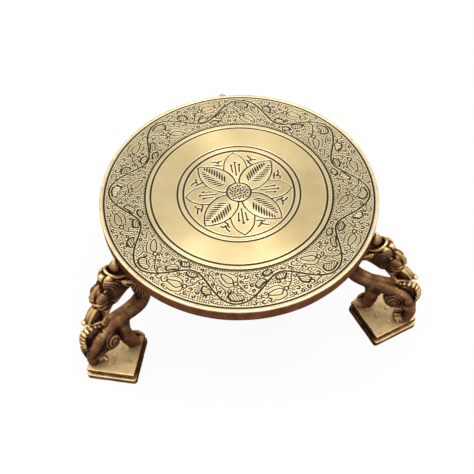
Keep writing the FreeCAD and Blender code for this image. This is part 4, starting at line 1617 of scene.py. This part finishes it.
def antiqued_brass(name, stops, grain_mm, grain_strength, clean_metal=washed_metal):
    """Cast brass with a dark wash: the point value of wash and painted light, plus clouds and specks, picks
    its colour, gloss and bare metal.
    """
    material, tree = new_material(name)
    place = add_node(tree, "ShaderNodeTexCoord")
    wash = add_node(tree, "ShaderNodeAttribute", {"attribute_name": "patina_and_painted_light"})
    cloud = add_node(tree, "ShaderNodeTexNoise", None,
                     {"Vector": place.outputs["Object"], "Scale": 1 / (cloud_mm * MM), "Detail": 5.0,
                      "Roughness": 0.62})
    fine = add_node(tree, "ShaderNodeTexNoise", None,
                    {"Vector": place.outputs["Object"], "Scale": 1 / (grain_mm * MM), "Detail": 3.0,
                     "Roughness": 0.6})
    drift = mapped(tree, cloud.outputs["Fac"], 0.3, 0.7, -cloud_reach, cloud_reach)
    speck = mapped(tree, fine.outputs["Fac"], 0.3, 0.7, -speck_reach, speck_reach)
    both = add_node(tree, "ShaderNodeMath", {"operation": "ADD"}, {0: drift, 1: speck})
    total = add_node(tree, "ShaderNodeMath", {"operation": "ADD", "use_clamp": True},
                     {0: wash.outputs["Fac"], 1: both.outputs[0]})
    palette = add_node(tree, "ShaderNodeValToRGB", None, {"Fac": total.outputs[0]})
    elements = palette.color_ramp.elements
    while len(elements) < len(stops):
        elements.new(0.5)
    for element, (position, colour) in zip(elements, stops):
        element.position = position
        element.color = linear(colour)
    rough = mapped(tree, total.outputs[0], 0.0, 1.0, 0.36, 0.6)
    metal = mapped(tree, total.outputs[0], 0.3, 0.7, clean_metal, washed_metal)
    bump = add_node(tree, "ShaderNodeBump", None,
                    {"Height": fine.outputs["Fac"], "Strength": grain_strength, "Distance": cast_bump})
    shader = add_node(tree, "ShaderNodeBsdfPrincipled", None,
                      {"Base Color": palette.outputs["Color"], "Metallic": metal,
                       "Specular Tint": linear(edge_tint), "Roughness": rough,
                       "Normal": bump.outputs["Normal"]})
    add_node(tree, "ShaderNodeOutputMaterial", None, {"Surface": shader.outputs[0]})
    return material


# %% Brass of the figures, the plinths and the plate's wall
figure_material = antiqued_brass(
    "rubbed_cast_brass",
    [(0.0, "#F4DDA2"), (0.22, "#D6B375"), (0.42, "#9A724A"), (0.6, "#6E4B34"), (0.8, "#462C1F"),
     (1.0, "#1F130D")], grain_mm=0.5, grain_strength=0.7)
plinth_material = antiqued_brass(
    "filed_cast_brass",
    [(0.0, "#FFE3AC"), (0.25, "#EBC68C"), (0.45, "#A87C4A"), (0.75, "#5E3824"), (1.0, "#1E110D")],
    grain_mm=0.6, grain_strength=0.6, clean_metal=0.45)
# The wall's brown is partly patina and partly a painted dark reflection.
wall_material = antiqued_brass(
    "brown_patina_and_painted_reflection_on_turned_brass",
    [(0.0, "#F3E0B6"), (0.25, "#C49A5C"), (0.5, "#8C5636"), (0.8, "#6C4230"), (1.0, "#3A2018")],
    grain_mm=0.7, grain_strength=0.35)
print("brasses", [m.name for m in (figure_material, plinth_material, wall_material)])

# %% Placing the legs
leg_angles = {}
for side in ("left", "right", "rear"):
    middle = np.mean([np.array(corner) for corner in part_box("plinth_" + side)], axis=0)[:2] - plate_centre
    leg_angles[side] = math.atan2(middle[1], middle[0])
plinth_out = float(np.hypot(*middle)) / MM
print("legs at", {side: round(math.degrees(angle), 2) for side, angle in leg_angles.items()},
      "plinth centre", round(plinth_out, 2), "mm out")


def to_table(points, normals, angle, foot):
    """Turns points (out, across, up) in millimetres to a leg's direction and lifts them by the foot."""
    placed = turned_about_axis(points, angle) * MM + (plate_centre[0], plate_centre[1], foot)
    return placed, turned_about_axis(normals, angle)


def place_castings(name, node, surface, patina_and_painted_light, material, foot):
    """One casting turned to the direction of every leg; SIDE in the node's name stands for the leg."""
    points, quads, normals = surface
    for side, angle in leg_angles.items():
        placed, turned = to_table(points, normals, angle, foot)
        piece = make_piece(name + "_" + side, placed, quads, (), {"patina_and_painted_light": patina_and_painted_light},
                           turned[quads.ravel()], material)
        keep_as(piece, node.replace("SIDE", side))


# %% The figures: lean, patina with painted light, and places
# Painted light and shade: the second value pales faces that look up and darkens faces that look down, and
# the last darkens broad hollows, partly as wash and partly as painted shade.
patina_start, painted_light_from_above, patina_fine, broad_wash_and_painted_shade = 0.96, 0.36, 3.0, 1.0
bright_edge = -0.1


def lean_share(up):
    """Share of the lean at a height, nothing up to the back and then even, and the slope of that share."""
    climb = (np.asarray(up, float) - lean_start) / (1 - lean_start)
    top = (1 + math.sqrt(1 + lean_softness)) / 2
    slope = (1 + climb / np.sqrt(climb ** 2 + lean_softness)) / 2 / top / (1 - lean_start)
    return (climb + np.sqrt(climb ** 2 + lean_softness)) / 2 / top, slope


def leaning(points, normals):
    """The castings' necks and heads lean to one side; normals turn with the slope of that lean."""
    points, normals = points.copy(), normals.copy()
    share, slope = lean_share(np.clip(points[:, 2] / figure_tall, 0, 1))
    points[:, 0] += rim_radius / MM
    points[:, 1] -= figure_lean * share
    normals[:, 2] += normals[:, 1] * figure_lean / figure_tall * slope
    return points, normals / np.linalg.norm(normals, axis=1, keepdims=True)


def rubbed_wash_and_painted_light(normals, hollows):
    """From 0, bright, to 1, dark: painted light on faces that look up and shade on those that look down,
    wash in hollows, partly painted shade in broad ones.
    """
    fine = np.clip(hollows[0], bright_edge, None)
    value = patina_start - painted_light_from_above * normals[:, 2] + patina_fine * fine + broad_wash_and_painted_shade * hollows[1]
    return np.clip(value, 0, 1)


leaned_points, leaned_normals = leaning(beast_points, beast_normals)
beast_patina_and_painted_light = rubbed_wash_and_painted_light(leaned_normals, beast_hollows)
print("figure hollows", [np.round(np.percentile(h, (10, 50, 90)), 2) for h in beast_hollows],
      "patina_and_painted_light", np.round(np.percentile(beast_patina_and_painted_light, (10, 50, 90)), 2))
place_castings("lion_dragon", "beast_SIDE", (leaned_points, beast_quads, leaned_normals),
               beast_patina_and_painted_light, figure_material, plinth_height)

# %% [markdown]
# ## The plinths
#
# Each figure stands on a small square plinth whose corner points outwards: a lower tier with a rounded upper
# edge, a narrow neck and a plain slab. It was filed on top, which left that face pale with a few stains. The
# wash stayed on the flanks as brown. Light and shade are painted over it: every upward face and the flanks
# that face out are painted lighter, and the flanks towards the table's middle and the inner ledge are
# painted nearly black as painted shade. The same clay serves here, because the file left every face a little
# uneven and the casting left lumps beside the paws.

# %% Plinth, in millimetres
plinth_side = 40.0
lower_top, neck_top = 5.4, 8.8
neck_inset, slab_inset = 2.2, 1.0
plinth_unevenness, plinth_wave = 0.16, 11.0
lump_places = ((-9.0, 3.6, 1.5), (-4.5, -6.0, 1.2), (2.0, 2.5, 1.7), (-13.5, -2.0, 1.1), (6.0, -8.0, 1.0))
lump_height, lump_sink = 1.0, 0.4


def square_tier(clay, side, low, high, corner, edge):
    """Distance to a rounded square slab turned by 45 degrees, its edges rounded as well."""
    a, b = (clay.x + clay.y) / math.sqrt(2), (clay.x - clay.y) / math.sqrt(2)
    outline = rounded(np.abs(a) - side / 2, np.abs(b) - side / 2, corner)
    return rounded(outline, np.abs(clay.z - (low + high) / 2) - (high - low) / 2, edge)


def model_plinth():
    """Two tiers with a neck between them, uneven by a few tenths, with lumps of metal on top."""
    tall = plinth_height / MM
    clay = Clay((-28.6, -28.6, -1.2), (28.6, 28.6, tall + 2.2), clay_step)
    clay.field = square_tier(clay, plinth_side, 0, lower_top, corner=2.6, edge=0.8)
    neck = square_tier(clay, plinth_side - 2 * neck_inset, 1, tall - 1, corner=2.6, edge=0.3)
    slab = square_tier(clay, plinth_side - 2 * slab_inset, neck_top, tall, corner=0.9, edge=0.45)
    clay.join(everywhere, neck, blend=0.5)
    clay.join(everywhere, slab, blend=0.4)
    uneven = plinth_unevenness * waves(clay.x, clay.y, clay.z, plinth_wave, 31, 3)
    from_top = np.abs(clay.z - tall)
    clay.field += uneven * (0.3 * ramp(-from_top, -1.6, -0.6) + ramp(from_top, 0.6, 1.6))
    for x, y, radius in lump_places:
        cut, px, py, pz = clay.part((x - 4, y - 4, tall - 2), (x + 4, y + 4, tall + 2.5))
        half = (radius, radius * 0.8, lump_height)
        clay.join(cut, ball_distance(px, py, pz, (x, y, tall - lump_sink), half, 0), blend=0.8)
    clay.field = np.maximum(clay.field, -clay.z)
    return cast_surface(clay, 0.9, 2.6)


plinth_points, plinth_quads, plinth_normals, plinth_hollows = model_plinth()
print("plinth", len(plinth_points), "points")

# %% Patina and painted light of the plinth: what each kind of face, a stain and a hollow add to it
# Painted light and shade: inner flanks and the inner ledge are darkened as painted shade, outer flanks
# lightened as painted light, upward faces lightened partly as the filed top's own pale colour and partly as
# painted light, and broad hollows darkened partly as painted shade.
flank_patina, inner_flank_painted_shade, outer_flank_painted_light, upper_face_filed_and_painted_light = 0.84, 0.26, -0.16, -0.72
inner_ledge_painted_shade, top_stain = 0.5, 0.3
top_cloud, flank_cloud = 0.07, 0.04
fine_hollow, broad_hollow_wash_and_painted_shade = 1.4, 0.5


def plinth_patina_and_painted_light(points, normals, hollows):
    """Pale top with stains, painted light on upward faces and outer flanks, painted shade nearly black on
    inner flanks and ledge.
    """
    inward, outward = np.clip(-normals[:, 0], 0, 1), np.clip(normals[:, 0], 0, 1)
    out, across, high = points.T
    value = flank_patina + inner_flank_painted_shade * inward + outer_flank_painted_light * outward
    value += upper_face_filed_and_painted_light * ramp(normals[:, 2], 0.55, 0.9)
    value += inner_ledge_painted_shade * ramp(-out, -2, 5) * ramp(-high, -neck_top - 0.4, -neck_top + 0.4)
    cloud = waves(out, across, high, 7.0, 41, 4)
    stain = top_stain * ramp(waves(out, across, 0.3 * high, 12.0, 43, 3), 0.25, 1.2)
    on_top = high > plinth_height / MM - 1.0
    value += np.where(on_top, top_cloud * cloud + stain, flank_cloud * cloud)
    value += fine_hollow * np.clip(hollows[0] + 0.04, -0.05, 1) + broad_hollow_wash_and_painted_shade * np.clip(hollows[1], 0, 1)
    return np.clip(value, 0, 1)


place_castings("plinth_casting", "plinth_SIDE",
               (plinth_points + (plinth_out, 0, 0), plinth_quads, plinth_normals),
               plinth_patina_and_painted_light(plinth_points, plinth_normals, plinth_hollows), plinth_material, 0.0)

# %% [markdown]
# ## The plate's rim, wall and underside
#
# One profile is turned round the plate's axis: the last of the top, the worn round of the rim, the outer
# wall, the lower edge, and inside the recess its wall and ceiling. A lathe's profile is the natural way to
# say this shape. The wall is brown, partly as patina and partly as a painted dark reflection, and only its
# upper corner is rubbed bright by hands and cloths.

# %% Profile of the plate's body, in millimetres
ceiling_depth = 4.0
wall_depth = (plate_top - skirt_bottom) / MM
rim_round, foot_round, recess_round = 1.1, 0.9, 2.0
body_clearance = 0.02
flat_step, seam_step, top_step, wall_step, foot_step = 6.0, 1.0, 0.45, 0.9, 0.6
after_arc = 0.5


def corner_arc(centre, radius, start, end, steps=7):
    """Points of a rounded corner: radius and depth on a circle between two angles in degrees."""
    turn = np.radians(np.linspace(start, end, steps))
    return np.stack([centre[0] + radius * np.cos(turn), centre[1] + radius * np.sin(turn)], axis=-1)


def evenly(start, end, step):
    """Points along a straight stretch of the profile, about one step apart, without the last."""
    count = max(1, int(round(math.dist(start, end) / step)))
    share = np.arange(count)[:, None] / count
    return np.array(start) * (1 - share) + np.array(end) * share


inner = R - skirt_wall
seam = border_edge_share * R
seat = -slab_depth - body_clearance
profile = np.vstack([
    evenly((0.0, seat), (seam, seat), flat_step),
    evenly((seam, seat), (seam, 0), seam_step),
    evenly((seam, 0), (R - rim_round, 0), top_step),
    corner_arc((R - rim_round, -rim_round), rim_round, 90, 0),
    evenly((R, -rim_round - after_arc), (R, -wall_depth + foot_round), wall_step),
    corner_arc((R - foot_round, -wall_depth + foot_round), foot_round, 0, -90),
    evenly((R - foot_round - foot_step, -wall_depth), (inner + foot_round, -wall_depth), foot_step),
    corner_arc((inner + foot_round, -wall_depth + foot_round), foot_round, -90, -180),
    evenly((inner, -wall_depth + foot_round + after_arc), (inner, -ceiling_depth - recess_round), wall_step),
    corner_arc((inner - recess_round, -ceiling_depth - recess_round), recess_round, 0, 90),
    evenly((inner - recess_round - foot_step, -ceiling_depth), (0.0, -ceiling_depth), flat_step),
])
print("profile points", len(profile))

# %% The body of the plate
wall_unevenness, wall_wave = 0.07, 24.0
# Painted reflection: the wall's brown value stands partly for patina and partly for a dark reflection of
# dark surroundings.
wall_patina_and_painted_reflection, rim_patina, recess_patina, pad_patina = 0.8, 0.04, 0.72, 0.7


def body_patina_and_painted_reflection(x, y, z, out):
    """Bright on the rim, brown on the wall as patina and a painted dark reflection, and brown in patches
    inside the recess.
    """
    brown = ramp(-z, 0.25, 1.5) * (wall_patina_and_painted_reflection + 0.05 * waves(x, y, z, 16.0, 61, 4))
    brown = np.where(z > -0.2, rim_patina, brown)
    patches = recess_patina + 0.1 * waves(x, y, z, 30.0, 63, 3)
    return np.clip(np.where((out < R - 1) & (z < -1.3), patches, brown), 0, 1)


def turned_profile(name, profile, columns, material):
    """Turns the profile round the axis: a ring of points per profile point, and one point at each pole."""
    angle = np.arange(columns) * 2 * math.pi / columns
    rings = profile[1:]
    x, y = rings[:, :1] * np.cos(angle), rings[:, :1] * np.sin(angle)
    z = np.broadcast_to(rings[:, 1:], x.shape).copy()
    wall = ramp(rings[:, :1], R - 2.4, R - 0.4) * ramp(-rings[:, 1:], 0.3, 1.2)
    swell = 1 + wall_unevenness * wall * waves(x, y, z, wall_wave, 52, 3) / R
    on_top = ramp(rings[:, 1:], -0.9, -0.2)
    points = photo_to_object(x * swell, y * swell, z + on_top * plate_unevenness(x, y))
    count = points.shape[0] * columns
    poles = photo_to_object(np.zeros(2), np.zeros(2), np.array([profile[0, 1], -ceiling_depth]))
    everything = np.vstack([points.reshape(-1, 3), poles])
    quads = grid_quads(len(rings), columns, True)[:, ::-1]
    first, last = np.arange(columns), count - columns + np.arange(columns)
    caps = np.vstack([np.stack([np.full(columns, count), first, np.roll(first, -1)], axis=1),
                      np.stack([np.full(columns, count + 1), np.roll(last, -1), last], axis=1)])
    out = np.broadcast_to(rings[:, :1], x.shape)
    patina_and_painted_light = np.append(body_patina_and_painted_reflection(x, y, z, out).ravel(), [pad_patina, pad_patina])
    piece = make_piece(name, everything, quads, caps, {"patina_and_painted_light": patina_and_painted_light}, None, material)
    keep_as(piece, "top_plate")


turned_profile("plate_rim_and_skirt", profile, 720, wall_material)

# %% Pads under the plate, in millimetres
pad_inset, pad_thickness = 1.0, 2.9
pad_step = 0.5


def model_pad():
    """A low boss with the tongue's outline, a little smaller, and two screw holes."""
    clay = Clay((-42.5, -11.5, -1.4), (-3.0, 11.5, pad_thickness + 1.4), pad_step)
    outline = stadium(clay.x, clay.y, tongue_half - pad_inset,
                      tongue_out + tongue_half - tongue_length + pad_inset, tongue_out)
    middle = pad_thickness / 2
    clay.field = np.maximum(outline, np.abs(clay.z - middle) - middle)
    bore_screws(clay)
    points, quads, normals, _ = cast_surface(clay, 0.9, 2.0)
    return points + (rim_radius / MM, -figure_lean, 0), quads, normals


pad_surface = model_pad()
place_castings("mounting_pad", "top_plate", pad_surface,
               np.full(len(pad_surface[0]), pad_patina), wall_material,
               plate_top - (ceiling_depth + pad_thickness) * MM)

# %% [markdown]
# ## Screws and washers
#
# The fixings are turned brass and need no new shape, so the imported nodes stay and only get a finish: plain
# yellow brass with a fine grain and a dull film, as screws have that were never polished.

# %% Turned brass of the fixings


def machined_brass():
    """Plain machined brass: fine noise in the roughness and a faint film of tarnish."""
    material, tree = new_material("machined_brass")
    place, tone = brass_colour(tree, "#B8935A", "#D9BC83", 1 / (3 * MM))
    film = add_node(tree, "ShaderNodeTexNoise", None,
                    {"Vector": place.outputs["Object"], "Scale": 1 / (0.8 * MM), "Detail": 3.0})
    bump = add_node(tree, "ShaderNodeBump", None,
                    {"Height": film.outputs["Fac"], "Strength": 0.25, "Distance": 0.00005})
    shader = add_node(tree, "ShaderNodeBsdfPrincipled", None,
                      {"Base Color": tone.outputs["Result"], "Metallic": 1.0,
                       "Roughness": mapped(tree, film.outputs["Fac"], 0.0, 1.0, 0.26, 0.5),
                       "Normal": bump.outputs["Normal"]})
    add_node(tree, "ShaderNodeOutputMaterial", None, {"Surface": shader.outputs[0]})
    return material


screw_material = machined_brass()
for node in ("leg_screws", "leg_washers", "plinth_screws"):
    for slot in bpy.data.objects[node].material_slots:
        slot.material = screw_material
